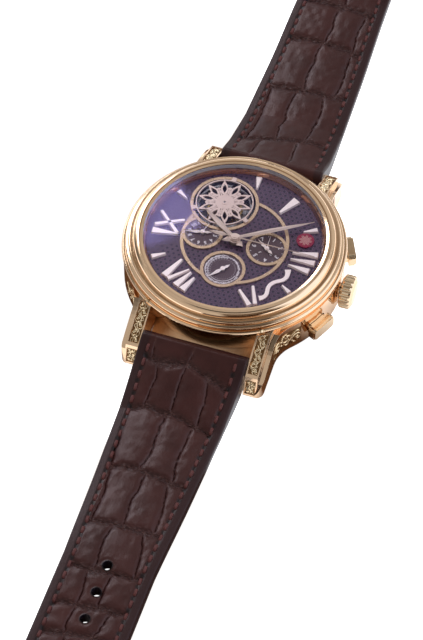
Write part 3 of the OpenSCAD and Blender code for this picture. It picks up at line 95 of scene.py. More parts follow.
class Tree:
    """A short way to write a node tree. Lengths in it are millimetres."""

    def __init__(self, tree):
        self.tree = tree
        tree.nodes.clear()

    def add(self, kind, values=None, out=0, **settings):
        """A new node, with its inputs linked or set. Gives one of its outputs."""
        node = self.tree.nodes.new("ShaderNode" + kind)
        for key, value in settings.items():
            setattr(node, key, value)
        for key, value in (values or {}).items():
            if isinstance(value, bpy.types.NodeSocket):
                self.tree.links.new(value, node.inputs[key])
            else:
                node.inputs[key].default_value = value
        return node.outputs[out]

    def math(self, operation, a, b=0.0, c=0.0, clamp=False):
        return self.add("Math", {0: a, 1: b, 2: c}, operation=operation, use_clamp=clamp)

    def vector(self, operation, a, b=(0, 0, 0), out=0):
        return self.add("VectorMath", {0: a, 1: b}, out, operation=operation)

    def parts(self, vector):
        return self.add("SeparateXYZ", {0: vector}).node.outputs

    def polar(self, where, centre):
        """Angle and distance round a centre on the dial"""
        x, y, _ = self.parts(self.vector("SUBTRACT", where, (*centre, 0)))
        squares = self.math("ADD", self.math("MULTIPLY", x, x), self.math("MULTIPLY", y, y))
        return self.math("ARCTAN2", y, x), self.math("SQRT", squares)

    def place(self):
        metres = self.add("TexCoord", out="Object")
        return self.add("VectorMath", {0: metres, "Scale": 1 / MM}, operation="SCALE")

    def stretch(self, where, x, y, z):
        return self.vector("MULTIPLY", where, (x, y, z))

    def noise(self, where, scale, detail=4.0, rough=0.5):
        return self.add("TexNoise", {"Vector": where, "Scale": scale, "Detail": detail, "Roughness": rough})

    def cells(self, where, scale, feature="F1", spread=1.0):
        return self.add("TexVoronoi", {"Vector": where, "Scale": scale, "Randomness": spread},
                        "Distance", feature=feature)

    def mix(self, share, a, b):
        a, b = (v if isinstance(v, bpy.types.NodeSocket) else colour(v) for v in (a, b))
        return self.add("Mix", {0: share, 6: a, 7: b}, 2, data_type="RGBA")

    def ramp(self, share, *stops):
        """stops are (place, value or tone)"""
        out = self.add("ValToRGB", {0: share})
        bar = out.node.color_ramp
        while len(bar.elements) < len(stops):
            bar.elements.new(0.5)
        for element, (at, value) in zip(bar.elements, stops):
            element.position = at
            element.color = colour(value)
        return out

    def value(self, name):
        """A number stored on the mesh"""
        return self.add("Attribute", out="Fac", attribute_name=name)

    def bump(self, height, depth, edge=0.0):
        """Relief of a depth, on edges rounded to a radius"""
        values = {"Height": height, "Distance": depth * MM}
        if edge:
            values["Normal"] = self.add("Bevel", {"Radius": edge * MM}, samples=4)
        return self.add("Bump", values)

    def surface(self, base, rough, metallic=0.0, normal=None, **more):
        values = {"Base Color": base, "Roughness": rough, "Metallic": metallic}
        if normal is not None:
            values["Normal"] = normal
        for key, value in more.items():
            values[key.replace("_", " ")] = value
        self.output(self.add("BsdfPrincipled", values))

    def output(self, shader, kind="OutputMaterial"):
        end = self.tree.nodes.new("ShaderNode" + kind)
        self.tree.links.new(shader, end.inputs["Surface"])


def material(fill):
    """Turns a function that fills a node tree into one that makes a named material"""
    def make(name, *sizes, **more):
        made = bpy.data.materials.new(name)
        made.use_nodes = True
        fill(Tree(made.node_tree), *sizes, **more)
        return made
    return make


# Metals and glass

@material
def polished_gold(t, tone, deep, rough=0.1, edge=0.07, metal=1.0):
    """Polished gold with soft edges, faint smears and a trace of hairlines"""
    where = t.place()
    base = t.mix(t.noise(where, 0.25, 3), deep, tone)
    smear = t.noise(where, 0.5, 6, 0.6)
    roughness = t.math("MULTIPLY_ADD", smear, 0.1, rough - 0.04)
    hairs = t.noise(t.stretch(where, 1, 1, 6), 5.0, 2)
    t.surface(base, roughness, metal, t.bump(hairs, 0.0012, edge))


@material
def carved_gold(t, tone, deep, hollow_shade):
    """Carved gold: bright on the ridges, with painted shade in the hollows, where the tone goes dark brown"""
    grain = t.noise(t.place(), 6.0, 3)
    share = t.math("MULTIPLY_ADD", grain, 0.35, t.value("height"), clamp=True)
    # painted shade: the tone goes dark brown where the carving is low
    base = t.ramp(share, (0.1, hollow_shade), (0.4, deep), (0.85, tone))
    rough = t.ramp(share, (0.1, 0.5), (0.8, 0.16))
    t.surface(base, rough, 1.0, t.bump(grain, 0.02))


@material
def brushed_steel(t, tone, grain=(1, 1, 1), rough=0.25):
    lines = t.noise(t.stretch(t.place(), *grain), 3.0, 5, 0.65)
    roughness = t.math("MULTIPLY_ADD", lines, 0.18, rough - 0.08)
    t.surface(t.mix(lines, dim(tone, 0.8), tone), roughness, 1.0, t.bump(lines, 0.003))


@material
def striped_steel(t, tone, width=1.1, turn=35):
    """Bridges: broad polished stripes at a turn in degrees, each brushed its own way"""
    turned = t.add("VectorRotate", {"Vector": t.place(), "Angle": math.radians(turn)},
                   rotation_type="Z_AXIS")
    wave = t.math("DIVIDE", t.math("PINGPONG", t.parts(turned)[0], width), width)
    lines = t.noise(t.stretch(turned, 0.3, 14, 1), 3.0, 4)
    height = t.math("MULTIPLY_ADD", lines, 0.05, t.math("POWER", wave, 2.0))
    t.surface(t.mix(lines, dim(tone, 0.75), tone), 0.24, 1.0, t.bump(height, 0.05))


@material
def grained_steel(t, tone, rings_in=42.0):
    """Plates: overlapping round polishing spots"""
    spots = t.cells(t.stretch(t.place(), 1, 1, 0.01), 0.9, spread=0.25)
    rings = t.math("SINE", t.math("MULTIPLY", spots, rings_in))
    base = t.mix(t.math("MULTIPLY_ADD", rings, 0.25, 0.5), dim(tone, 0.7), tone)
    t.surface(base, 0.28, 1.0, t.bump(rings, 0.004))


@material
def gilt(t, tone, rough=0.22):
    grain = t.noise(t.place(), 4.0, 4)
    roughness = t.math("MULTIPLY_ADD", grain, 0.15, rough - 0.05)
    t.surface(t.mix(grain, dim(tone, 0.75), tone), roughness, 1.0, t.bump(grain, 0.003))


@material
def blued(t, dark, light):
    t.surface(t.mix(t.noise(t.place(), 2.0, 3), dark, light), 0.2, 1.0)


@material
def jewel(t, dark, light):
    base = t.mix(t.noise(t.place(), 1.5, 2), dark, light)
    t.surface(base, 0.06, Coat_Weight=0.6, Coat_Roughness=0.03)


@material
def enamel(t, centre, petals=8):
    """Translucent red over a rosette"""
    angle, far = t.polar(t.place(), centre)
    edge = t.math("MULTIPLY_ADD", t.math("COSINE", t.math("MULTIPLY", angle, petals)), 0.34, 1.12)
    leaf = t.math("SMOOTH_MIN", t.math("SUBTRACT", edge, far), 1.0, 0.05)
    inside = t.math("GREATER_THAN", leaf, 0.0)
    veins = t.math("GREATER_THAN", t.math("COSINE", t.math("MULTIPLY", angle, 2 * petals)), 0.5)
    rose = t.mix(veins, (0.46, 0.23, 0.2), (0.2, 0.03, 0.04))
    red = t.mix(t.noise(t.place(), 3.0, 3), (0.17, 0.008, 0.025), (0.27, 0.015, 0.04))
    t.surface(t.mix(inside, red, rose), 0.18, Coat_Weight=0.5, Coat_Roughness=0.05)


@material
def clear_glass(t, tint, haze, gloss_share, soft=0.015, dome=None):
    """Clear coated glass. dome is the top's sphere: the heights of its centre and of its foot."""
    where = t.place()
    values = {"Color": colour(haze), "Roughness": soft}
    share = t.math("MULTIPLY", t.add("Fresnel", {"IOR": 1.5}), gloss_share)
    if dome:
        centre, foot = dome
        values["Normal"] = t.vector("NORMALIZE", t.vector("SUBTRACT", where, (0, 0, centre)))
        is_top = t.math("GREATER_THAN", t.parts(where)[2], foot)
        facing_out = t.math("SUBTRACT", 1.0, t.add("NewGeometry", out="Backfacing"))
        share = t.math("MULTIPLY", share, t.math("MULTIPLY", is_top, facing_out))
    gloss = t.add("BsdfGlossy", values)
    through = t.add("BsdfTransparent", {"Color": t.mix(t.noise(where, 0.08, 4), tint, 1.0)})
    t.output(t.add("MixShader", {0: share, 1: through, 2: gloss}))


@material
def rubber(t, tone):
    grain = t.noise(t.place(), 6.0, 3)
    t.surface(t.mix(grain, dim(tone, 0.7), tone), 0.5, normal=t.bump(grain, 0.01))


# Dial

@material
def dial_blue(t, pitch, dark, light, worn_tone):
    """Deep violet blue with a close pattern of dark eyelets, each in a pale ring"""
    where = t.place()
    wide = (pitch, pitch * math.sqrt(3), 1)

    def lattice(shift):
        """Distance to the nearest eyelet of one of the two lattices"""
        part = t.vector("FRACTION", t.vector("DIVIDE", t.vector("ADD", where, shift), wide))
        middle = t.vector("SUBTRACT", part, (0.5, 0.5, 0))
        return t.vector("LENGTH", t.vector("MULTIPLY", middle, (wide[0], wide[1], 0)), out="Value")

    near = t.math("MINIMUM", lattice((0, 0, 0)), lattice((pitch / 2, wide[1] / 2, 0)))
    ring = t.ramp(t.math("DIVIDE", near, pitch),
                  (0.0, 0.0), (0.2, 0.0), (0.34, 1.0), (0.44, 0.6), (0.5, 0.5))
    worn = t.math("MULTIPLY", t.noise(where, 0.45, 4), 0.35)
    base = t.mix(worn, t.mix(ring, dark, light), worn_tone)
    t.surface(base, 0.36, 0.3, t.bump(ring, 0.018), Coat_Weight=0.2, Coat_Roughness=0.15)


@material
def sunray_brown(t, discs, dark, light, count=31.0):
    """Grey-brown discs, each brushed out from its own centre. A disc is (centre, ray radius, radius)."""
    where = t.place()
    base = None
    for centre, ray_radius, radius in discs:
        angle, far = t.polar(where, centre)
        rays = t.math("SINE", t.math("MULTIPLY", angle, count))
        strength = t.math("MULTIPLY_ADD", t.math("LESS_THAN", far, ray_radius), 0.5, 0.08)
        shade = t.mix(t.math("MULTIPLY_ADD", rays, strength, 0.5), dark, light)
        base = shade if base is None else t.mix(t.math("LESS_THAN", far, radius), base, shade)
    t.surface(base, 0.36, 0.4, t.bump(t.noise(where, 7.0, 3), 0.01))


@material
def print_ink(t, tone):
    t.surface(t.mix(t.noise(t.place(), 5.0, 3), dim(tone, 0.8), tone), 0.35, 0.3)


# Leather

@material
def scaled_leather(t):
    """Brown scaled leather. The mesh says where bands, creases, stitch pits, holes and edges are. Painted
    shade darkens the wrinkle valleys, crease cores, stitch pits and hole rims, and painted highlights pale
    the crease walls.
    """
    where = t.place()
    cloudy = t.noise(where, 0.7, 4)
    fine = t.noise(where, 3.2, 4, 0.6)
    streaks = t.noise(t.stretch(where, 1.0, 0.3, 1.0), 2.2, 5, 0.7)
    wrinkle = t.cells(t.stretch(where, 0.55, 1.8, 1.0), 1.7, "DISTANCE_TO_EDGE")
    wrinkle = t.math("MULTIPLY", wrinkle, 2.2, clamp=True)
    band, crease, edge, pit = (t.value(key) for key in ("band", "crease", "edge", "pit"))
    base = t.ramp(t.noise(where, 0.16, 5, 0.55),
                  (0.25, (0.020, 0.0048, 0.0042)), (0.75, (0.042, 0.0115, 0.0098)))
    base = t.mix(t.math("MULTIPLY", cloudy, 0.35), base, (0.055, 0.016, 0.0135))
    # The band's own lighter grey-brown, with painted shade darkening the valleys between its wrinkles
    band_tone_and_fold_shade = t.mix(wrinkle, (0.010, 0.003, 0.003), (0.078, 0.031, 0.026))
    base = t.mix(t.math("MULTIPLY", band, 0.75), base, band_tone_and_fold_shade)
    # painted shade darkens the core of each crease
    base = t.mix(t.ramp(crease, (0.5, 0.0), (0.9, 0.8)), base, (0.012, 0.004, 0.004))
    # painted highlight: the walls of each crease are paled as if they catch the light
    rim = t.ramp(crease, (0.0, 0.0), (0.3, 1.0), (0.55, 0.5), (0.8, 0.0))
    pale = t.math("MULTIPLY", rim, t.ramp(fine, (0.35, 0.35), (0.65, 1.0)))
    base = t.mix(t.math("MULTIPLY", pale, 0.6), base, (0.095, 0.045, 0.039))
    base = t.mix(t.math("MULTIPLY", edge, 0.75), base, (0.014, 0.0045, 0.005))
    # painted shade: stitch pits and the rims of the holes go near black
    base = t.mix(pit, base, (0.003, 0.002, 0.002))
    folds = t.math("MULTIPLY", t.math("MULTIPLY", wrinkle, band), 1.6)
    height = t.math("MULTIPLY_ADD", fine, 0.25, t.math("MULTIPLY_ADD", streaks, 0.55, folds))
    rough = t.math("MULTIPLY_ADD", fine, 0.22, t.math("MULTIPLY_ADD", band, 0.1, 0.24))
    rough = t.math("MULTIPLY_ADD", edge, 0.1, rough)
    t.surface(base, rough, 0.0, t.bump(height, 0.06), Specular_IOR_Level=0.32,
              Specular_Tint=(1.0, 0.8, 0.76, 1.0))


@material
def edge_paint(t, dark, light):
    """Black sealed edge of the leather"""
    grain = t.noise(t.stretch(t.place(), 1, 0.35, 1), 1.6, 4)
    t.surface(t.mix(grain, dark, light), 0.32, normal=t.bump(grain, 0.06), Specular_IOR_Level=0.5)


@material
def smooth_calf(t, dark, light):
    where = t.place()
    base = t.mix(t.noise(where, 0.3, 5), dark, light)
    t.surface(base, 0.55, normal=t.bump(t.cells(where, 3.2), 0.03))


@material
def thread(t, dark, light):
    lay = t.add("TexWave", {"Vector": t.place(), "Scale": 1.6, "Distortion": 0.6}, 1)
    t.surface(t.mix(lay, dark, light), 0.65, normal=t.bump(lay, 0.03))


# Places on the dial, and the glass
SIDE_X, LOW_Y = 6.8, 7.6
SIDE_R, LOW_R = 4.0, 4.3
ROUNDEL_AT = (13.5, 4.5)
GLASS_R, GLASS_TOP, GLASS_FOOT, DOME_H = 18.4, 14.6, 13.38, 1.2
DOME_CENTRE = GLASS_TOP - (GLASS_R ** 2 + DOME_H ** 2) / (2 * DOME_H)
LEFT_DISC, RIGHT_DISC, LOW_DISC = (-SIDE_X, 0), (SIDE_X, 0), (0, -LOW_Y)
DISCS = [(LEFT_DISC, 1.9, SIDE_R), (RIGHT_DISC, 1.9, SIDE_R), (LOW_DISC, 2.5, LOW_R)]

# Materials as (tone, deeper tone, roughness, edge radius, metal)
ROSE, ROSE_DEEP = (0.92, 0.66, 0.44), (0.86, 0.58, 0.36)
rose_gold = polished_gold("rose_gold", ROSE, ROSE_DEEP, 0.07)
plate_gold = polished_gold("plate_gold", ROSE, ROSE_DEEP, 0.32)
crown_gold = polished_gold("crown_gold", (0.86, 0.67, 0.46), (0.80, 0.58, 0.36), 0.13, 0.05)
marker_gold = polished_gold("marker_gold", (0.95, 0.82, 0.76), (0.90, 0.74, 0.66), 0.3, 0.0, 0.3)
hand_gold = polished_gold("hand_gold", (0.76, 0.60, 0.50), (0.68, 0.51, 0.41), 0.3, 0.0, 0.6)
bridge_gold = polished_gold("bridge_gold", (0.70, 0.54, 0.46), (0.62, 0.46, 0.38), 0.32, 0.0, 0.6)
ring_gold = polished_gold("ring_gold", (0.66, 0.47, 0.30), (0.58, 0.40, 0.24), 0.26, 0.0, 0.6)
flange_gold = polished_gold("flange_gold", (0.74, 0.44, 0.26), (0.62, 0.34, 0.18), 0.06, 0.0)
# The last tone is painted shade for the hollows of the carving
carved = carved_gold("carved_gold", (0.90, 0.70, 0.44), (0.55, 0.34, 0.16), (0.16, 0.07, 0.02))
steel = brushed_steel("steel", (0.62, 0.63, 0.65))
cage_steel = brushed_steel("cage_steel", (0.5, 0.49, 0.5), (1, 1, 6), 0.18)
bridge_steel = striped_steel("bridge_steel", (0.64, 0.65, 0.67))
plate_steel = grained_steel("plate_steel", (0.34, 0.34, 0.36))
brass = gilt("brass", (0.75, 0.56, 0.26))
blue_steel = blued("blue_steel", (0.02, 0.03, 0.2), (0.08, 0.1, 0.38))
ruby = jewel("ruby", (0.35, 0.01, 0.05), (0.6, 0.04, 0.12))
red_enamel = enamel("red_enamel", ROUNDEL_AT)
front_glass = clear_glass("front_glass", (0.97, 0.96, 1.0), (0.5, 0.42, 1.0), 0.75, 0.1,
                          (DOME_CENTRE, GLASS_FOOT))
back_glass = clear_glass("back_glass", (0.95, 0.97, 1.0), (0.9, 0.93, 1.0), 0.4)
white_seal = rubber("white_seal", (0.5, 0.5, 0.48))
black_seal = rubber("black_seal", (0.02, 0.02, 0.02))
dial_face = dial_blue("dial_face", 1.12, (0.004, 0.002, 0.006), (0.11, 0.055, 0.085),
                      (0.03, 0.018, 0.042))
disc_brown = sunray_brown("disc_brown", DISCS, (0.036, 0.020, 0.024), (0.125, 0.076, 0.078))
pale_ink = print_ink("pale_ink", (0.78, 0.70, 0.68))
leather = scaled_leather("leather")
leather_edge = edge_paint("leather_edge", (0.014, 0.009, 0.014), (0.034, 0.025, 0.035))
calf = smooth_calf("calf", (0.16, 0.075, 0.035), (0.24, 0.125, 0.065))
strap_thread = thread("strap_thread", (0.035, 0.006, 0.005), (0.13, 0.026, 0.019))

# Material of each piece that comes from the solid model
LOOKS = [
    (rose_gold, "case_middle bezel case_back crown_tube pusher_tubes rotor buckle_frame buckle_tongue"),
    (crown_gold, "crown upper_pusher lower_pusher"),
    (marker_gold, "hour_markers ribbon_ornament left_subdial_hand left_needle"),
    (marker_gold, "right_subdial_hand right_needle bottom_subdial_hand"),
    (hand_gold, "hour_hand minute_hand seconds_hand"),
    (ring_gold, "subdial_frame tourbillon_ring"),
    (bridge_gold, "filigree_bridge"),
    (flange_gold, "flange_ring"),
    (steel, "movement_ring rotor_bearing escape_wheel winding_stem winding_pinion spring_bars buckle_bar"),
    (cage_steel, "cage_lower cage_upper"),
    (bridge_steel, "barrel_bridge train_bridge"),
    (plate_steel, "main_plate"),
    (brass, "fixed_wheel barrel centre_wheel third_wheel minute_wheel balance_wheel"),
    (blue_steel, "bridge_screws hairspring"),
    (ruby, "pallet_fork"),
    (red_enamel, "red_roundel"),
    (front_glass, "crystal"),
    (back_glass, "back_crystal"),
    (white_seal, "crystal_gasket"),
    (black_seal, "case_back_gasket"),
    (dial_face, "dial"),
    (disc_brown, "subdial_discs"),
]
for look, names in LOOKS:
    for name in names.split():
        nodes[name].data.materials.clear()
        nodes[name].data.materials.append(look)


# Mesh helpers

def smooth(t):
    u = np.clip(t, 0, 1)
    return u * u * (3 - 2 * u)


def lerp(a, b, t):
    return a + (b - a) * t


def value_noise(x, y, seed):
    """Smooth noise from -1 to 1 that changes over about one unit"""
    xi, yi = np.floor(x), np.floor(y)
    fx, fy = smooth(x - xi), smooth(y - yi)

    def corner(i, j):
        n = np.sin((xi + i) * 127.1 + (yi + j) * 311.7 + seed * 74.7) * 43758.5453
        return 2 * (n - np.floor(n)) - 1

    low = lerp(corner(0, 0), corner(1, 0), fx)
    high = lerp(corner(0, 1), corner(1, 1), fx)
    return lerp(low, high, fy)


def make_mesh(name, points, faces, materials, kinds=None, flat=False):
    """A mesh from points in mm. kinds gives each face's place in the list of materials."""
    mesh = bpy.data.meshes.new(name)
    mesh.from_pydata((np.asarray(points, float) * MM).tolist(), [], [tuple(f) for f in faces])
    for look in materials:
        mesh.materials.append(look)
    if kinds is not None:
        mesh.polygons.foreach_set("material_index", np.asarray(kinds, np.int32))
    mesh.polygons.foreach_set("use_smooth", np.full(len(mesh.polygons), not flat))
    mesh.update()
    return mesh


def store_values(mesh, **shares):
    """Stores a number for each point of the mesh under each name"""
    for key, values in shares.items():
        store = mesh.attributes.new(key, "FLOAT", "POINT")
        store.data.foreach_set("value", np.asarray(values, np.float32))


def add_piece(name, mesh, body, replaces=()):
    piece = bpy.data.objects.new(name, mesh)
    bpy.context.scene.collection.objects.link(piece)
    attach(piece, body)
    if replaces:
        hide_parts(*replaces)
    return piece


def outward(mesh, merge=0.0):
    """Turns every face outward, after joining points that are closer than merge"""
    work = bmesh.new()
    work.from_mesh(mesh)
    if merge:
        bmesh.ops.remove_doubles(work, verts=work.verts, dist=merge * MM)
    bmesh.ops.recalc_face_normals(work, faces=work.faces)
    work.to_mesh(mesh)
    work.free()
    return mesh


def cut(mesh, cutter_mesh):
    """The mesh with the cutter's solids taken away"""
    body = bpy.data.objects.new("body", mesh)
    tool = bpy.data.objects.new("tool", cutter_mesh)
    for o in (body, tool):
        bpy.context.scene.collection.objects.link(o)
    step = body.modifiers.new("cut", "BOOLEAN")
    step.operation = "DIFFERENCE"
    step.solver = "EXACT"
    step.object = tool
    evaluated = body.evaluated_get(bpy.context.evaluated_depsgraph_get())
    made = bpy.data.meshes.new_from_object(evaluated)
    for o in (body, tool):
        bpy.data.objects.remove(o)
    return made


def unit(vector):
    return vector / np.linalg.norm(vector)


def tube_faces(rings, sides, closed=False):
    """Faces between rings of points. A closed tube runs back into its start, an open one gets two ends."""
    faces = []
    for i in range(rings if closed else rings - 1):
        for k in range(sides):
            j, n = (i + 1) % rings, (k + 1) % sides
            faces.append([i * sides + k, i * sides + n, j * sides + n, j * sides + k])
    if not closed:
        faces += [list(range(sides))[::-1], list(range((rings - 1) * sides, rings * sides))]
    return faces


def rod_points(centre, axis, radius, half_length, sides=32):
    """Points and faces of a cylinder along axis 0, 1 or 2"""
    points = []
    for end in (-half_length, half_length):
        for i in range(sides):
            turn = 2 * math.pi * i / sides
            p = [radius * math.cos(turn), radius * math.sin(turn)]
            p.insert(axis, end)
            points.append([centre[k] + p[k] for k in range(3)])
    return points, tube_faces(2, sides)


def joined(shapes):
    points, faces = [], []
    for shape_points, shape_faces in shapes:
        base = len(points)
        points += [list(p) for p in shape_points]
        faces += [[base + i for i in f] for f in shape_faces]
    return points, faces


# Faces of a box whose eight corners are listed along x first, then y, then z
BOX_FACES = [(0, 2, 3, 1), (4, 5, 7, 6), (0, 1, 5, 4), (2, 6, 7, 3), (0, 4, 6, 2), (1, 3, 7, 5)]


def box_points(low, high):
    points = [(x, y, z) for z in (low[2], high[2]) for y in (low[1], high[1]) for x in (low[0], high[0])]
    return points, BOX_FACES


# Strap: sizes of the solid model

BAR_Y, BAR_Z, BAR_BORE = 25.25, 4.4, 1.88
STRAP_HALF, TAIL_HALF, TAPER_FROM = 11.0, 9.0, 5.0
STRAP_T, STRAP_TOP, LINING_T = 2.9, 8.0, 0.7
REST, END_LOW, ROLL_REACH = 1.0, 2.4, 2.1
ROLL_MID, ROLL_HALF = (STRAP_TOP + END_LOW) / 2, (STRAP_TOP - END_LOW) / 2
LINING_START, LINING_STEP, LINING_SHORT = 1.8, 0.02, 6.0
FLAT_FROM, UNDER_FLAT_FROM = 15.0, 9.0
# The slope from the bar down to the flat, as three pulls: along the strap and above its rest
SLOPE_S, SLOPE_Z = (0.2, 4.2, FLAT_FROM), (STRAP_TOP - REST, 5.3, STRAP_T)
LIFT_FROM, LIFT_TO = 30.0, 50.0
UPPER_LEN, LOWER_LEN, TIP_LEN = 80.0, 115.0, 12.0
HOLE_D, HOLE_PITCH, HOLE_FIRST, HOLE_COUNT = 1.9, 6.1, 50.9, 7
SLOT_HALF, SLOT_REACH = 1.5, 5.0
STITCH_IN, STITCH_PITCH, STITCH_LEN, STITCH_R = 2.05, 2.65, 1.85, 0.3
# How much wider than thick a stitch is, how far its ends dive and how high it lies over the leather
STITCH_WIDE, STITCH_DIVE, STITCH_LIFT, STITCH_PROUD = 1.15, 0.28, 0.1, 0.02
# How far to each side the leather's slope is felt under a stitch
STITCH_FEEL = 0.6

# Relief of the leather: widths and depths of bands, creases, pillowed scales and the stitched groove,
# then the reach of a stitch pit, the radius of the edge and the height of the crown
BAND_W, BAND_D = 0.78, 0.24
CREASE_W, CREASE_D = 0.17, 0.3
PILLOW_W, PILLOW_D = 0.75, 0.36
GROOVE_W, GROOVE_D = 0.32, 0.13
PIT_R, RIM_R, CROWN_H = 0.52, 0.55, 0.95
# How finely the skins are divided: along the strap, at its round ends, and lanes across it
STATION, END_FINE, LANES, LINING_LANES = 0.2, 0.6, 121, 21
# Edges sharper than this stay hard
HARD_EDGE = math.radians(50)
# The five places across the strap where a row says how far along its band lies
ROW_AT = [-10, -5, 0, 5, 10]


def pulled(pulls, t):
    """A curve from the first number to the last, pulled by the middle one"""
    a, b, c = pulls
    return a * (1 - t) ** 2 + 2 * b * t * (1 - t) + c * t ** 2


class Half:
    """One half of the strap. x runs across it and s is the distance from its spring bar."""

    def __init__(self, side, end, lift, taper, tip, rows, columns):
        self.side = side
        self.end = end
        self.lift_h = lift
        self.taper = taper
        self.tip = tip
        self.rows = rows
        self.columns = columns
        t = np.linspace(0, 1, 200)
        self.curve_s = pulled(SLOPE_S, t)
        self.curve_z = REST + pulled(SLOPE_Z, t)
        self.holes = [HOLE_FIRST + HOLE_PITCH * i for i in range(HOLE_COUNT)] if tip else []
        self.stitches = self.stitch_places()

    def lift(self, s):
        return self.lift_h * smooth((s - LIFT_FROM) / (LIFT_TO - LIFT_FROM))

    def under(self, s):
        share = 1 - np.clip(s / UNDER_FLAT_FROM, 0, 1)
        return REST + (END_LOW - REST) * share ** 2 + self.lift(s)

    def roll(self, s, way):
        """The leather's roll over the spring bar, its upper or lower side"""
        return ROLL_MID + way * ROLL_HALF * np.sqrt(np.clip(1 - (s / ROLL_REACH) ** 2, 0, 1))

    def fold(self, s, way):
        """The round end at the buckle, its upper or lower side"""
        reach = STRAP_T / 2
        arc = np.sqrt(np.clip(reach ** 2 - (s - self.end) ** 2, 0, None))
        return REST + self.lift_h + reach + way * arc

    def top(self, s):
        slope = np.interp(s, self.curve_s, self.curve_z)
        flat = np.where(s < FLAT_FROM, slope, REST + STRAP_T + self.lift(s))
        z = np.where(s < 0, self.roll(s, 1), flat)
        return z if self.tip else np.where(s > self.end, self.fold(s, 1), z)

    def low(self, s):
        start = self.under(np.array(LINING_START))
        slope = lerp(END_LOW, start, np.clip(s / (LINING_START - LINING_STEP), 0, 1))
        z = np.where(s < LINING_START - LINING_STEP / 2, slope, self.under(s) + LINING_T)
        z = np.where(s < 0, self.roll(s, -1), z)
        if not self.tip:
            share = np.clip((s - self.end + LINING_SHORT) / LINING_SHORT, 0, 1)
            z = np.where(s > self.end - LINING_SHORT, REST + self.lift_h + LINING_T * (1 - share), z)
            z = np.where(s > self.end, self.fold(s, -1), z)
        return z

    def half(self, s):
        share = np.clip((s - TAPER_FROM) / (self.taper - TAPER_FROM), 0, 1)
        wide = lerp(STRAP_HALF, TAIL_HALF, share)
        if self.tip:
            share = np.clip((s - self.end + self.tip) / self.tip, 0, 1)
            wide = wide * np.power(np.clip(1 - share ** 2, 0, 1), 0.25)
        return wide

    def crown(self, s):
        return CROWN_H * smooth(s / 6) * (1 - 0.6 * smooth((s - 12) / 50))

    def inset(self, x, s):
        """Distance in from the plan outline"""
        side = self.half(s) - np.abs(x)
        return np.minimum(side, self.end - s) if self.tip else side

    def pattern(self, x, s):
        """Distances to the nearest cross band and to the nearest lengthwise crease"""
        wx = x + 0.3 * value_noise(x * 0.5, s * 0.4, 1) + 0.12 * value_noise(x * 1.7, s * 1.3, 2)
        ws = s + 0.4 * value_noise(x * 0.4, s * 0.3, 3) + 0.16 * value_noise(x * 1.5, s * 1.5, 4)
        crease = np.full_like(x, 99.0)
        lines = [np.interp(wx, ROW_AT, row) for row in self.rows]
        band = np.min([np.abs(ws - line) for line in lines], axis=0)
        edges = [np.full_like(x, -3.0)] + lines + [np.full_like(x, self.end + 9)]
        for k, cell in enumerate(self.columns):
            length = np.maximum(edges[k + 1] - edges[k], 0.5)
            along = (ws - edges[k]) / length
            inside = (along > -0.02) & (along < 1.02)
            for n, (x0, x1, strength) in enumerate(cell):
                bow = 0.45 * np.sin(math.pi * along) * (1 if (k + n) % 2 else -1)
                far = np.abs(wx - lerp(x0, x1, along) - bow) / strength
                crease = np.where(inside, np.minimum(crease, far), crease)
        return band, crease

    def field(self, x, s):
        """Relief in mm, and the shares of band, crease, edge and pit at each point"""
        band_far, crease_far = self.pattern(x, s)
        inset = self.inset(x, s)
        inner = smooth((inset - 1.5) / 1.0) * smooth((s + 0.5) / 3)
        wide = BAND_W + 0.2 * value_noise(x * 0.6, s * 0.2, 5)
        band = np.exp(-(band_far / wide) ** 2) * inner
        crease = np.exp(-(crease_far / CREASE_W) ** 2) * inner * (1 - 0.7 * band)
        near = np.minimum(band_far, crease_far)
        relief = -BAND_D * band - CREASE_D * crease
        relief -= PILLOW_D * np.exp(-near / PILLOW_W) * inner
        relief += 0.05 * value_noise(x * 0.9, s * 0.7, 6) * inner
        relief += 0.14 * band * value_noise(x * 1.2, s * 3.4, 7)
        groove = np.exp(-((inset - STITCH_IN) / GROOVE_W) ** 2) * smooth((s - 0.2) / 1.5)
        relief -= GROOVE_D * groove
        edge = smooth((STITCH_IN + 0.1 - inset) / 0.5)
        # pit marks where painted shade turns the leather near black: round each hole and in the pit between
        # two stitches
        pit = np.zeros_like(x)
        for hole in self.holes:
            far = np.hypot(x, s - hole)
            relief -= 0.12 * np.exp(-((far - 1.25) / 0.35) ** 2)
            pit = np.maximum(pit, smooth((HOLE_D / 2 + 0.28 - far) / 0.2))
        for px, ps, _ in self.stitches:
            between = ps + STITCH_PITCH / 2
            close = np.abs(between - s) < 1
            if close.any():
                far = np.hypot(x[close] - px, s[close] - between)
                pit[close] = np.maximum(pit[close], 0.97 * np.exp(-(far / PIT_R) ** 4))
        return relief, band, crease, edge, pit

    def top_surface(self, x, s, relief):
        wide = np.maximum(self.half(s), 0.3)
        gap = np.clip(RIM_R - self.inset(x, s), 0, RIM_R)
        drop = RIM_R - np.sqrt(RIM_R ** 2 - gap ** 2)
        body = smooth((s + ROLL_REACH) / 1.2)
        if not self.tip:
            body = body * smooth((self.end + STRAP_T / 2 - s) / 1.0)
        z = self.top(s) - self.crown(s) * np.clip(np.abs(x) / wide, 0, 1) ** 2.3
        z = z + relief * body - drop * body
        return np.maximum(z, self.low(s) + 0.02 * body)

    def stitch_runs(self):
        """The lines of stitches inside the outline, as (x, s): one round the tip, or one on each side"""
        last = self.end - self.tip if self.tip else self.end - 7
        line = [(STITCH_IN - float(self.half(np.array(s))), s) for s in np.linspace(1.0, last, 160)]
        if not self.tip:
            return [line, [(-x, s) for x, s in line]]
        inner, reach = TAIL_HALF - STITCH_IN, self.tip - STITCH_IN
        arc = [(-inner * math.sqrt(max(math.cos(a), 0)), last + reach * math.sin(a))
               for a in np.linspace(0.03, math.pi / 2, 40)]
        side = line + arc
        return [side + [(-x, s) for x, s in reversed(side[:-1])]]

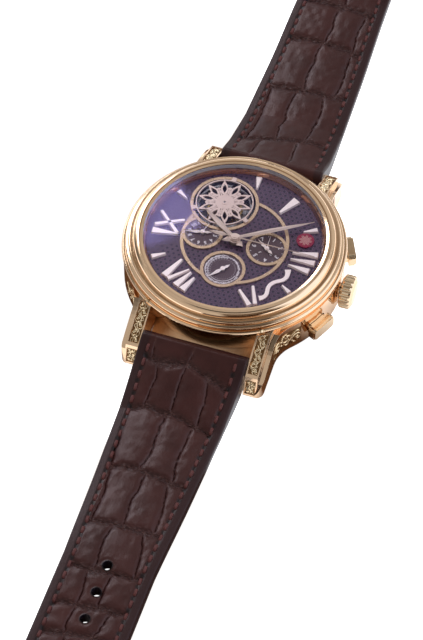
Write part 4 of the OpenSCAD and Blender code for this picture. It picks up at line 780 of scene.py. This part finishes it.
    def stitch_places(self):
        """Places and directions of the stitches, walked along each line"""
        places = []
        for run in self.stitch_runs():
            path = np.array(run)
            total = np.concatenate([[0], np.cumsum(np.hypot(*np.diff(path, axis=0).T))])
            for at in np.arange(STITCH_PITCH / 2, total[-1], STITCH_PITCH):
                here, ahead, behind = ([np.interp(at + step, total, path[:, k]) for k in (0, 1)]
                                       for step in (0, 0.2, -0.2))
                places.append((*here, math.atan2(ahead[1] - behind[1], ahead[0] - behind[0])))
        return places

    def to_world(self, x, s, z):
        return np.stack([x, self.side * (BAR_Y + s), z], -1)


def steps_between(rows, first, spacing, end, seed):
    """More cross bands, evenly spaced with a little jitter, after the ones measured in the photograph"""
    made = [list(r) for r in rows]
    at = first
    k = 0
    while at < end - 4:
        made.append([at + 0.5 * math.sin(seed + 2.1 * k + 1.7 * j) for j in range(5)])
        at += spacing + 0.4 * math.sin(3.3 * k + seed)
        k += 1
    return made


# Each row is one cross band. Each cell between two bands has creases: start, end and strength.
LOWER_ROWS = steps_between([
    [3.9, 4.3, 3.3, 4.9, 6.9], [14.7, 13.8, 14.2, 15.4, 16.4], [30.3, 28.2, 28.0, 29.1, 30.1],
    [42.2, 41.9, 41.8, 41.5, 41.2], [52.9, 52.5, 52.5, 52.1, 51.7], [61.6, 60.9, 60.4, 60.1, 59.7],
    [68.5, 67.7, 66.9, 66.4, 66.2]], 74.2, 6.0, LOWER_LEN, 1)
LOWER_COLUMNS = [
    [(-7.6, -7.6, 1), (-0.3, -0.3, 1)], [(-5.8, -6.1, 1), (-0.1, 0.0, 1), (4.4, 5.5, 1)],
    [(-8.7, -6.8, 0.6), (-1.3, -1.6, 1), (4.8, 5.3, 1)], [(-7.1, -6.5, 0.6), (-0.4, -0.1, 1), (4.6, 5.8, 1)],
    [(-2.0, -1.8, 1), (3.9, 5.5, 1)], [(-3.2, -2.9, 1), (1.9, 1.3, 1)], [(-2.8, -2.6, 1), (3.8, 2.4, 1)]]
LOWER_COLUMNS += [[(-2.6 + 0.8 * math.sin(k), -2.4, 0.9), (2.6 + 0.7 * math.cos(2 * k), 2.7, 0.9)]
                  for k in range(len(LOWER_ROWS) + 1 - len(LOWER_COLUMNS))]
UPPER_ROWS = steps_between([
    [5.7, 6.8, 8.3, 9.9, 9.3], [23.5, 24.0, 24.1, 24.3, 25.3], [36.9, 38.2, 38.2, 37.9, 36.4],
    [48.7, 48.9, 48.5, 48.3, 47.9]], 56.9, 7.6, UPPER_LEN, 2)
UPPER_COLUMNS = [
    [(-4.6, -4.6, 1), (2.6, 2.6, 1)], [(-7.8, -7.8, 0.6), (-1.8, -1.8, 1), (4.1, 4.1, 1)],
    [(-0.8, -0.8, 1), (6.0, 6.0, 1)], [(-0.4, -0.4, 1), (6.3, 6.3, 1)], [(1.0, 1.0, 1), (-4.4, -4.2, 0.8)]]
UPPER_COLUMNS += [[(-2.8, -2.4, 0.9), (2.4, 2.7, 0.9)]] * (len(UPPER_ROWS) + 1 - len(UPPER_COLUMNS))
lower = Half(-1, LOWER_LEN, 1.0, LOWER_LEN - 65, TIP_LEN, LOWER_ROWS, LOWER_COLUMNS)
upper = Half(1, UPPER_LEN, 1.5, UPPER_LEN - 3, 0, UPPER_ROWS, UPPER_COLUMNS)


def lane_shares(count):
    """Lanes across the strap from -1 to 1, closer at the two edges"""
    close = [0.965, 0.985, 0.995]
    return np.array(sorted(set(np.linspace(-1, 1, count).tolist() + close + [-c for c in close])))


def slab(name, half, stations, lanes, top_z, low_z, materials):
    """A closed skin between two surfaces over the strap's plan. materials: its top, edges and underside."""
    s, share = np.meshgrid(np.unique(np.round(stations, 4)), lanes, indexing="ij")
    x = share * half.half(s)
    points = np.concatenate([half.to_world(x, s, z(x, s)).reshape(-1, 3) for z in (top_z, low_z)])
    index = np.arange(s.size).reshape(s.shape)
    under = index + s.size

    def grid(a):
        return np.stack([a[:-1, :-1], a[1:, :-1], a[1:, 1:], a[:-1, 1:]], -1).reshape(-1, 4)

    def strip(a, b):
        return np.stack([a[:-1], a[1:], b[1:], b[:-1]], -1)

    rims = [strip(index[:, k], under[:, k]) for k in (0, -1)] + [strip(index[k], under[k]) for k in (0, -1)]
    groups = [grid(index), grid(under), np.concatenate(rims)]
    kinds = np.concatenate([np.full(len(group), kind) for group, kind in zip(groups, (0, 2, 1))])
    mesh = make_mesh(name, points, np.concatenate(groups).tolist(), materials, kinds)
    return outward(mesh, 0.004)


def cut_strap(mesh, half, surface):
    """The mesh without the bar's bore and the holes or the tongue's slot"""
    y0 = half.side * BAR_Y
    shapes = [rod_points((0, y0, BAR_Z), 0, BAR_BORE / 2, STRAP_HALF + 2)]
    for hole in half.holes:
        shapes.append(rod_points((0, y0 + half.side * hole, 2), 2, HOLE_D / 2, 6))
    if not half.tip:
        middle = y0 + half.side * half.end
        shapes.append(box_points((-SLOT_HALF, middle - SLOT_REACH, -1), (SLOT_HALF, middle + SLOT_REACH, 10)))
    points, faces = joined(shapes)
    tool = make_mesh("tool", points, faces, [surface, leather_edge], np.ones(len(faces)))
    return cut(mesh, outward(tool))


def keep_hard_edges(mesh):
    mesh.polygons.foreach_set("use_smooth", np.ones(len(mesh.polygons), bool))
    mesh.set_sharp_from_angle(angle=HARD_EDGE)


def make_leather(name, half, body, node):
    last = half.end if half.tip else half.end + STRAP_T / 2
    stations = np.concatenate([-ROLL_REACH * np.cos(np.linspace(0, math.pi / 2, 14)),
                               np.arange(STATION, last - END_FINE, STATION),
                               last - END_FINE * np.linspace(1, 0, 8) ** 1.6,
                               [LINING_START - LINING_STEP, LINING_START]])
    mesh = slab(name, half, stations, lane_shares(LANES),
                lambda x, s: half.top_surface(x, s, half.field(x, s)[0]),
                lambda x, s: half.low(s), [leather, leather_edge, leather_edge])
    mesh = cut_strap(mesh, half, leather)
    places = np.zeros(len(mesh.vertices) * 3)
    mesh.vertices.foreach_get("co", places)
    x, y, _ = places.reshape(-1, 3).T / MM
    _, band, crease, edge, pit = half.field(x, half.side * y - BAR_Y)
    # band, crease and pit also steer painted shade and painted highlights in the leather's colour
    store_values(mesh, band=band, crease=crease, edge=edge, pit=pit)
    keep_hard_edges(mesh)
    piece = add_piece(name, mesh, body, [node])


def make_lining(name, half, body, node, last, rim=0.3):
    def low_z(x, s):
        edge = np.clip(rim - half.inset(x, s), 0, rim)
        return half.under(s) + rim - np.sqrt(rim ** 2 - edge ** 2) + 0.02

    stations = np.append(np.arange(LINING_START, last, 0.8), last)
    mesh = slab(name, half, stations, lane_shares(LINING_LANES),
                lambda x, s: half.under(s) + LINING_T - 0.01, low_z, [calf, leather_edge, calf])
    if half.holes:
        mesh = cut_strap(mesh, half, calf)
    keep_hard_edges(mesh)
    add_piece(name, mesh, body, [node])


def stitch(centre, along, up, rings=9, sides=8):
    """One stitch: a short round thread whose ends dive"""
    side = np.cross(up, along)
    points = []
    for i in range(rings):
        t = 2 * i / (rings - 1) - 1
        thick = STITCH_R * math.sqrt(max(1 - t ** 6, 0.02))
        middle = centre + along * (t * STITCH_LEN / 2) - up * STITCH_DIVE * abs(t) ** 3
        for k in range(sides):
            a = 2 * math.pi * k / sides
            points.append(middle + side * (STITCH_WIDE * thick * math.cos(a)) + up * (thick * math.sin(a)))
    return points, tube_faces(rings, sides)


def make_stitches(name, half, body):
    shapes = []
    for x, s, angle in half.stitches:
        spots = []
        for step in (-STITCH_FEEL, 0, STITCH_FEEL):
            px, ps = np.array([x + step * math.cos(angle)]), np.array([s + step * math.sin(angle)])
            z = half.top_surface(px, ps, half.field(px, ps)[0]) + STITCH_LIFT
            spots.append(half.to_world(px, ps, z)[0])
        along = unit(spots[2] - spots[0])
        up = np.array([0.0, 0.0, 1.0])
        up = unit(up - along * np.dot(up, along))
        shapes.append(stitch(spots[1] + up * STITCH_PROUD, along, up))
    mesh = outward(make_mesh(name, *joined(shapes), [strap_thread]))
    add_piece(name, mesh, body)


make_leather("strap_lower_leather", lower, "strap_6", "strap_lower")
make_leather("strap_upper_leather", upper, "strap_12", "strap_upper")
make_lining("strap_lower_lining", lower, "strap_6", "lining_lower", LOWER_LEN)
make_lining("strap_upper_lining", upper, "strap_12", "lining_upper", UPPER_LEN - LINING_SHORT)
make_stitches("strap_lower_stitches", lower, "strap_6")
make_stitches("strap_upper_stitches", upper, "strap_12")

# Keepers

KEEPER_W, KEEPER_T, KEEPER_R = 5.0, 1.1, 0.85
KEEPER_LOW, KEEPER_HIGH, KEEPER_GAP = 2.4, 8.7, 0.1
# How far each keeper lies from the spring bar, and where along the strap its width is taken
FIXED_AT, FIXED_FIT = 70.0, 67.5
FREE_AT, FREE_FIT = 60.0, 53.5


def keeper_path(inner_half, spacing=0.5):
    """Points round the keeper's rounded rectangle, in x and z"""
    r = KEEPER_R
    low, high = KEEPER_LOW - KEEPER_T / 2 + r, KEEPER_HIGH + KEEPER_T / 2 - r
    side = inner_half + KEEPER_T / 2 - r
    path = []
    for x, z, start in ((side, high, 0), (-side, high, 90), (-side, low, 180), (side, low, 270)):
        for a in np.radians(np.linspace(start, start + 90, 9)):
            path.append((x + r * math.cos(a), z + r * math.sin(a)))
    dense = []
    for p, q in zip(path, path[1:] + path[:1]):
        count = max(1, int(math.hypot(q[0] - p[0], q[1] - p[1]) / spacing))
        dense += [(lerp(p[0], q[0], i / count), lerp(p[1], q[1], i / count)) for i in range(count)]
    return dense


def keeper_section(sides=24):
    """The leather's rounded section, as (along the strap, out from the path)"""
    section = []
    for i in range(sides):
        c, s = math.cos(2 * math.pi * i / sides), math.sin(2 * math.pi * i / sides)
        section.append((KEEPER_W / 2 * math.copysign(abs(c) ** 0.35, c),
                        KEEPER_T / 2 * math.copysign(abs(s) ** 0.6, s)))
    return section


def make_keeper(name, at, fit_at, body, node):
    """A leather loop with a crowned face and rounded edges"""
    path = keeper_path(float(upper.half(np.array(fit_at))) + KEEPER_GAP)
    section = keeper_section()
    points = []
    for k, (x, z) in enumerate(path):
        p, q = path[k - 1], path[(k + 1) % len(path)]
        size = math.hypot(q[0] - p[0], q[1] - p[1])
        nx, nz = (q[1] - p[1]) / size, (p[0] - q[0]) / size
        points += [(x + nx * v, BAR_Y + at + u, z + nz * v) for u, v in section]
    mesh = make_mesh(name, points, tube_faces(len(path), len(section), closed=True), [leather])
    outward(mesh)
    edge = [smooth((abs(u) - 1.9) / 0.4) for u, v in section] * len(path)
    zero = np.zeros(len(points))
    store_values(mesh, band=zero, crease=zero, edge=edge, pit=zero)
    add_piece(name, mesh, body, [node])


make_keeper("fixed_keeper_leather", FIXED_AT, FIXED_FIT, "strap_12", "fixed_keeper")
make_keeper("free_keeper_leather", FREE_AT, FREE_FIT, "free_keeper", "free_keeper")

# Hour markers

MARKER_LOW, MARKER_TOP, MARKER_SLOPE = 11.2, 11.7, 0.13
# Each wedge of the markers: inner end, outer end, inner width, outer width
WEDGES = [
    ((0.15, 14.1), (-0.35, 17.3), 0.4, 1.4),
    ((6.4, 9.6), (8.85, 13.95), 0.7, 1.9),
    ((12.5, 6.35), (15.15, 7.85), 0.5, 1.2),
    ((11.95, 0.65), (17.15, 1.6), 0.4, 1.55),
    ((12.0, -0.95), (17.1, -0.6), 0.4, 1.5),
    ((12.0, -2.5), (16.6, -2.95), 0.4, 1.6),
    ((12.4, -7.8), (14.5, -9.2), 0.45, 1.1),
    ((7.0, -9.75), (8.9, -14.1), 0.7, 1.0),
    ((4.7, -11.5), (7.9, -14.7), 0.7, 1.2),
    ((-4.6, -11.5), (-6.1, -15.3), 0.55, 1.6),
    ((-5.65, -10.4), (-7.7, -14.6), 0.55, 1.55),
    ((-6.2, -9.85), (-9.7, -13.5), 0.5, 1.0),
    ((-8.45, -7.9), (-10.6, -13.0), 0.7, 1.6),
    ((-12.0, -7.5), (-14.6, -9.2), 0.5, 1.25),
    ((-11.35, -2.05), (-16.7, -2.7), 0.5, 1.7),
    ((-11.5, -1.9), (-16.5, 2.7), 0.9, 0.8),
    ((-11.05, 1.85), (-16.7, -1.1), 0.75, 0.9),
    ((-12.5, 7.2), (-14.9, 8.7), 0.4, 1.2),
]


def wedge(inner, outer, narrow, wide):
    """A straight wedge with a flat top and sloped sides"""
    a, b = np.array(inner), np.array(outer)
    along = unit(b - a)
    side = np.array([-along[1], along[0]])
    points = []
    for z, inset in ((MARKER_LOW, 0.0), (MARKER_TOP, MARKER_SLOPE)):
        for end, width, way in ((a, narrow, 1), (b, wide, -1)):
            half = max(width / 2 - inset, 0.05)
            middle = end + along * inset * way
            points += [(*(middle - side * half), z), (*(middle + side * half), z)]
    return points, BOX_FACES


markers = make_mesh("markers", *joined([wedge(*spot) for spot in WEDGES]), [marker_gold], flat=True)
add_piece("markers", outward(markers), "case", ["hour_markers"])

# Printing on the sub-dials

DISC_Z = 11.32
INK_H, INK_BOLD, INK_SUNK = 0.02, 0.025, 0.005


def text_shape(body, size, place, angle):
    """Points and faces of a number laid flat on the dial. angle turns it from upright."""
    curve = bpy.data.curves.new("text", "FONT")
    curve.body = body
    curve.size = size * MM
    curve.align_x = "CENTER"
    curve.align_y = "CENTER"
    curve.extrude = INK_H * MM / 2
    curve.resolution_u = 2
    curve.offset = INK_BOLD * MM
    holder = bpy.data.objects.new("text", curve)
    bpy.context.scene.collection.objects.link(holder)
    evaluated = holder.evaluated_get(bpy.context.evaluated_depsgraph_get())
    mesh = bpy.data.meshes.new_from_object(evaluated)
    turn = Matrix.Translation(Vector(place) * MM) @ Matrix.Rotation(math.radians(angle), 4, "Z")
    points = [tuple(turn @ v.co / MM) for v in mesh.vertices]
    faces = [list(p.vertices) for p in mesh.polygons]
    bpy.data.objects.remove(holder)
    bpy.data.curves.remove(curve)
    bpy.data.meshes.remove(mesh)
    return points, faces


def on_clock(centre, radius, clock):
    """Place round a centre at an angle in degrees, clockwise from twelve"""
    a = math.radians(90 - clock)
    return centre[0] + radius * math.cos(a), centre[1] + radius * math.sin(a)


def tick(centre, r0, r1, clock, width):
    """A thin radial tick"""
    ends = [np.array(on_clock(centre, r, clock)) for r in (r0, r1)]
    along = unit(ends[1] - ends[0])
    side = np.array([-along[1], along[0]]) * width / 2
    points = [(*(end + way * side), z)
              for z in (DISC_Z - INK_SUNK, DISC_Z + INK_H) for way in (-1, 1) for end in ends]
    return points, BOX_FACES


def number_ring(centre, radius, labels, size, start=0.0, lean=0.0):
    """Numbers round a centre, each leaning by lean degrees from the way out"""
    shapes = []
    for k, label in enumerate(labels):
        clock = start + 360 * k / len(labels)
        place = (*on_clock(centre, radius, clock), DISC_Z + INK_H / 2)
        shapes.append(text_shape(label, size, place, lean - clock))
    return shapes


def make_print(name, shapes):
    mesh = make_mesh(name, *joined(shapes), [pale_ink], flat=True)
    add_piece(name, mesh, "case")


def numbers_to(last):
    return [str(n) for n in range(1, last + 1)]


make_print("left_subdial_print",
           number_ring(LEFT_DISC, 2.6, ["12"] + numbers_to(11), 1.15)
           + [tick(LEFT_DISC, 3.2, 3.45, 6 * k, 0.07) for k in range(60) if k % 5])
make_print("right_subdial_print",
           number_ring(RIGHT_DISC, 2.7, numbers_to(7), 1.25, 15)
           + [tick(RIGHT_DISC, 3.15, 3.45, 15 + 360 * (k + 0.5) / 7, 0.1) for k in range(7)]
           + number_ring(RIGHT_DISC, 1.55, numbers_to(4), 0.7, 45))
make_print("bottom_subdial_print",
           number_ring(LOW_DISC, 3.2, numbers_to(31), 1.0, 8, 90)
           + [tick(LOW_DISC, 2.42, 2.6, 360 * k / 31, 0.06) for k in range(31)])

# Carved scrolls on the lugs and flanks, and the plates between the lugs

LUG_MID, LUG_TOP_Y, LUG_TOP_Z = 12.4, 22.65, 7.0
LUG_TIP_Y, LUG_TIP_Z = 28.0, 3.12
FLANK_R, FLANK_MID = 22.6, 5.2
# Length and width of each carved panel
TOP_PANEL, TIP_PANEL, FLANK_PANEL = (7.7, 2.1), (3.2, 2.1), (7.6, 4.2)
# Pitch of each running scroll, the reach of its cord and how far the cord stands up
TOP_SCROLL, TIP_SCROLL, FLANK_SCROLL = (1.3, 0.17, 0.26), (1.1, 0.17, 0.24), (2.5, 0.26, 0.22)
# How far off the case a ray starts on its way to it, and how far it may go
OFF_FLAT, OFF_ROUND, RAY_REACH = 6.0, 5.0, 12.0
PLATE_HALF, PLATE_R, PLATE_OUT = 11.0, 19.92, 22.5
PLATE_HIGH, PLATE_LOW, PLATE_T = 2.2, 0.95, 0.4

case_mesh = nodes["case_middle"].data
case_tree = BVHTree.FromPolygons([v.co / MM for v in case_mesh.vertices],
                                 [p.vertices for p in case_mesh.polygons])


def spiral(centre, radius, turns, start, way, count=26):
    """Points and widths of a curl that winds in"""
    made = []
    for i in range(count):
        t = i / (count - 1)
        a = start + way * turns * 2 * math.pi * t
        r = radius * (1 - 0.8 * t)
        made.append((centre[0] + r * math.cos(a), centre[1] + r * math.sin(a), lerp(1.0, 0.65, t)))
    made.append((*centre, 1.5))
    return made


def vine(length, width, pitch, seed):
    """A running scroll along u with leaves, as points with widths"""
    made = []
    for k in range(max(1, int(round(length / pitch)))):
        u = pitch * (k + 0.5) - length / 2 + 0.12 * math.sin(seed + 5 * k)
        way = 1 if k % 2 else -1
        made += spiral((u, 0.14 * way * width), 0.36 * width, 1.25, way * math.pi / 2, -way)
        for j in range(3):
            a = way * (0.6 + 0.9 * j)
            for i in range(6):
                r = width * (0.38 + 0.035 * i)
                made.append((u + r * math.cos(a) * 1.1, r * math.sin(a) - 0.1 * way * width, 0.95 - 0.1 * i))
    for i in range(int(length / 0.12)):
        u = -length / 2 + 0.12 * i
        made.append((u, 0.36 * width * math.sin(math.pi * u / pitch + seed), 0.6))
    return made


def carve(name, place, panel, scroll, seed, step=0.075, fade=0.3):
    """Raised scrolls on the case. place turns (u, v) into a point off the case and the way to drop it."""
    length, width = panel
    pitch, cord, rise = scroll
    lines = vine(length, width, pitch, seed)
    tree = KDTree(len(lines))
    for i, (u, v, _) in enumerate(lines):
        tree.insert((u, v, 0), i)
    tree.balance()
    nu, nv = int(length / step), int(width / step)
    index = {}
    points, heights = [], []
    for i in range(nu + 1):
        for j in range(nv + 1):
            u = length * (i / nu - 0.5)
            v = width * (j / nv - 0.5)
            start, towards = place(u, v)
            hit, normal, _, _ = case_tree.ray_cast(start, towards, RAY_REACH)
            if hit is None or normal.dot(towards) > -0.25:
                continue
            near = 0.0
            for _, k, far in tree.find_range((u, v, 0), cord * 1.6):
                near = max(near, 1 - (far / (cord * lines[k][2])) ** 2)
            border = min(length / 2 - abs(u), width / 2 - abs(v))
            share = math.sqrt(near) * min(1.0, max(border, 0) / fade)
            lift = 0.012 * min(1.0, border / 0.1) - 0.004
            index[i, j] = len(points)
            points.append(hit + normal * (rise * share + lift))
            heights.append(share)
    faces = []
    for i, j in index:
        corners = [index.get(k) for k in ((i, j), (i + 1, j), (i + 1, j + 1), (i, j + 1))]
        if None in corners:
            continue
        if max((points[corners[k]] - points[corners[k - 1]]).length for k in range(4)) < 6 * step:
            faces.append(corners)
    mesh = make_mesh(name, [tuple(p) for p in points], faces, [carved])
    store_values(mesh, height=heights)
    add_piece(name, mesh, "case")


def flat_panel(base, u_dir, v_dir, towards):
    base, u_dir, v_dir, towards = (Vector(v) for v in (base, u_dir, v_dir, towards))
    return lambda u, v: (base + u_dir * u + v_dir * v - towards * OFF_FLAT, towards)


def round_panel(clock, height):
    """A panel on the flank, its middle at a place on the clock"""
    middle = math.radians(90 - clock)

    def place(u, v):
        out = Vector((math.cos(middle - u / FLANK_R), math.sin(middle - u / FLANK_R), 0))
        return out * (FLANK_R + OFF_ROUND) + Vector((0, 0, height + v)), -out

    return place


def end_plate(name, side):
    """A thin plate that closes the case between two lugs, outside the case back"""
    x = np.linspace(-PLATE_HALF, PLATE_HALF, 41)
    inner = np.sqrt(PLATE_R ** 2 - x ** 2)
    edges = ((inner, PLATE_HIGH), (np.full_like(x, PLATE_OUT), PLATE_LOW))
    points = [(a, side * b, z + lift)
              for lift in (-PLATE_T, 0.0) for ring, z in edges for a, b in zip(x, ring)]
    n = len(x)
    faces = [(low + i, low + i + 1, high + i + 1, high + i)
             for i in range(n - 1) for low, high in ((0, n), (3 * n, 2 * n), (n, 3 * n), (2 * n, 0))]
    faces += [(0, n, 3 * n, 2 * n), (n - 1, 2 * n - 1, 4 * n - 1, 3 * n - 1)]
    mesh = make_mesh("end_plate", points, faces, [plate_gold], flat=True)
    add_piece(name, outward(mesh), "case")


end_plate("end_plate_top", 1)
end_plate("end_plate_bottom", -1)
for sx, x_name in ((1, "right"), (-1, "left")):
    for sy, y_name in ((1, "top"), (-1, "bottom")):
        corner = f"{x_name}_{y_name}"
        seed = sx + 2.5 * sy
        lug_top = flat_panel((sx * LUG_MID, sy * LUG_TOP_Y, LUG_TOP_Z), (0, sy, 0), (1, 0, 0), (0, 0, -1))
        lug_tip = flat_panel((sx * LUG_MID, sy * LUG_TIP_Y, LUG_TIP_Z), (0, 0, 1), (1, 0, 0), (0, -sy, 0))
        flank = round_panel(90 * (2 - sx) - 45 * sx * sy, FLANK_MID)
        carve("lug_scroll_" + corner, lug_top, TOP_PANEL, TOP_SCROLL, seed)
        carve("lug_tip_scroll_" + corner, lug_tip, TIP_PANEL, TIP_SCROLL, seed + 1)
        carve("flank_scroll_" + corner, flank, FLANK_PANEL, FLANK_SCROLL, seed, step=0.1)


# Floor, light and world

FLOOR_HALF, FLOOR_DROP = 1200.0, 0.2
# Where the floor is pale and glows in reflections, as painted light, instead of its brown painted shade: past
# two lines, each a direction and how far along it
FLOOR_PALE = [((0.85, 0.53), 10.0), ((-0.94, -0.34), 30.0)]
FLOOR_BLUR = 12.0
# and in a band in front of the lugs: its middle, half its width and its blur
FLOOR_FRONT, FLOOR_REACH, FRONT_BLUR = -37.0, 11.0, 4.0


@material
def table_top(t):
    """White to the camera's own rays. In reflections brown, as painted shade, and pale and glowing in the
    places above, as painted light.
    """
    x, y, _ = t.parts(t.place())
    front = t.math("ABSOLUTE", t.math("SUBTRACT", y, FLOOR_FRONT))
    side = t.math("DIVIDE", t.math("SUBTRACT", FLOOR_REACH, front), FRONT_BLUR, clamp=True)
    for (x_share, y_share), start in FLOOR_PALE:
        along = t.math("MULTIPLY_ADD", y, y_share, t.math("MULTIPLY", x, x_share))
        past = t.math("DIVIDE", t.math("SUBTRACT", along, start), FLOOR_BLUR, clamp=True)
        side = t.math("MAXIMUM", side, past)
    pale = t.mix(t.noise(t.place(), 0.05, 3), (0.93, 0.93, 0.935), (0.95, 0.95, 0.955))
    # brown painted shade, or the pale floor where painted light falls
    matt = t.add("BsdfDiffuse", {"Color": t.mix(side, (0.16, 0.075, 0.035), pale)})
    seen = t.add("LightPath", out="Is Camera Ray")
    # the pale places glow at half strength as painted light; the camera's own rays see the floor evenly white
    strength = t.math("MULTIPLY_ADD", side, 0.5, seen)
    glow = t.add("Emission", {"Color": colour(1.0), "Strength": strength})
    t.output(t.add("AddShader", {0: matt, 1: glow}))


def make_floor():
    corners = [(x * FLOOR_HALF, y * FLOOR_HALF, -FLOOR_DROP) for x, y in ((-1, -1), (1, -1), (1, 1), (-1, 1))]
    mesh = make_mesh("floor", corners, [(0, 1, 2, 3)], [table_top("floor")], flat=True)
    floor = bpy.data.objects.new("floor", mesh)
    bpy.context.scene.collection.objects.link(floor)


# Studio walls as degrees round and degrees up, each (middle, half width, blur), and their brightness
WHITE = (1.3, 1.46, 1.75)
STUDIO = [
    ((-172, 26, 8), (0, 14, 8), 0.15),
    ((8, 22, 12), (18, 44, 6), WHITE),
    ((38, 20, 8), (50, 12, 5), WHITE),
    ((134, 13, 9), (8, 26, 8), WHITE),
    ((166, 6, 5), (30, 16, 6), 0.18),
    ((45, 4, 4), (18, 6, 5), 0.2),
    ((90, 4, 4), (12, 6, 4), 0.22),
    ((-54, 24, 7), (0, 22, 6), (0.03, 0.02, 0.015)),
    ((-57, 24, 7), (42, 7, 5), (0.14, 0.1, 0.07)),
    ((-62, 32, 7), (60, 4, 3), (0.05, 0.03, 0.02)),
    ((-75, 50, 10), (80, 5, 3), (0.05, 0.04, 0.03)),
    ((106, 14, 5), (54, 2, 2), (0.22, 0.16, 0.11)),
]
# How bright the studio is by height, from the horizon to straight above
SKY = [(0.0, 0.64), (0.45, 0.64), (0.55, 0.5), (0.78, 0.56), (0.85, 0.14), (1.0, 0.12)]
SKY_STRENGTH = 0.95


def make_world():
    """The studio: a ramp by height with its bright and dark walls laid over it"""
    world = bpy.data.worlds.new("studio")
    world.use_nodes = True
    bpy.context.scene.world = world
    t = Tree(world.node_tree)
    x, y, z = t.parts(t.add("TexCoord", out="Generated"))
    turn = t.math("DEGREES", t.math("ARCTAN2", y, x))
    rise = t.math("DEGREES", t.math("ARCSINE", z))

    def band(value, middle, half, soft):
        off = t.math("WRAP", t.math("SUBTRACT", value, middle), 180.0, -180.0)
        return t.math("DIVIDE", t.math("SUBTRACT", half + soft, t.math("ABSOLUTE", off)), soft, clamp=True)

    shade = t.ramp(t.math("DIVIDE", rise, 90.0), *SKY)
    for turn_band, rise_band, tone in STUDIO:
        share = t.math("MULTIPLY", band(turn, *turn_band), band(rise, *rise_band))
        shade = t.mix(share, shade, tone)
    t.output(t.add("Background", {"Color": shade, "Strength": SKY_STRENGTH}), "OutputWorld")


def add_light(name, place, size, power, tone=(1, 1, 1), glossy=True):
    """A square softbox that faces the watch"""
    data = bpy.data.lights.new(name, "AREA")
    data.shape = "SQUARE"
    data.size = size * MM
    data.energy = power
    data.color = tone
    lamp = bpy.data.objects.new(name, data)
    lamp.location = Vector(place) * MM
    lamp.visible_glossy = glossy
    lamp.rotation_mode = "QUATERNION"
    lamp.rotation_quaternion = (-Vector(place)).to_track_quat("-Z", "Y")
    bpy.context.scene.collection.objects.link(lamp)


make_floor()
make_world()
add_light("overhead", (60, 20, 520), 260, 0.9, glossy=False)
add_light("left_back", (-290, 335, 400), 205, 0.85, (0.88, 0.92, 1.0))
bpy.context.scene.view_settings.view_transform = "Standard"
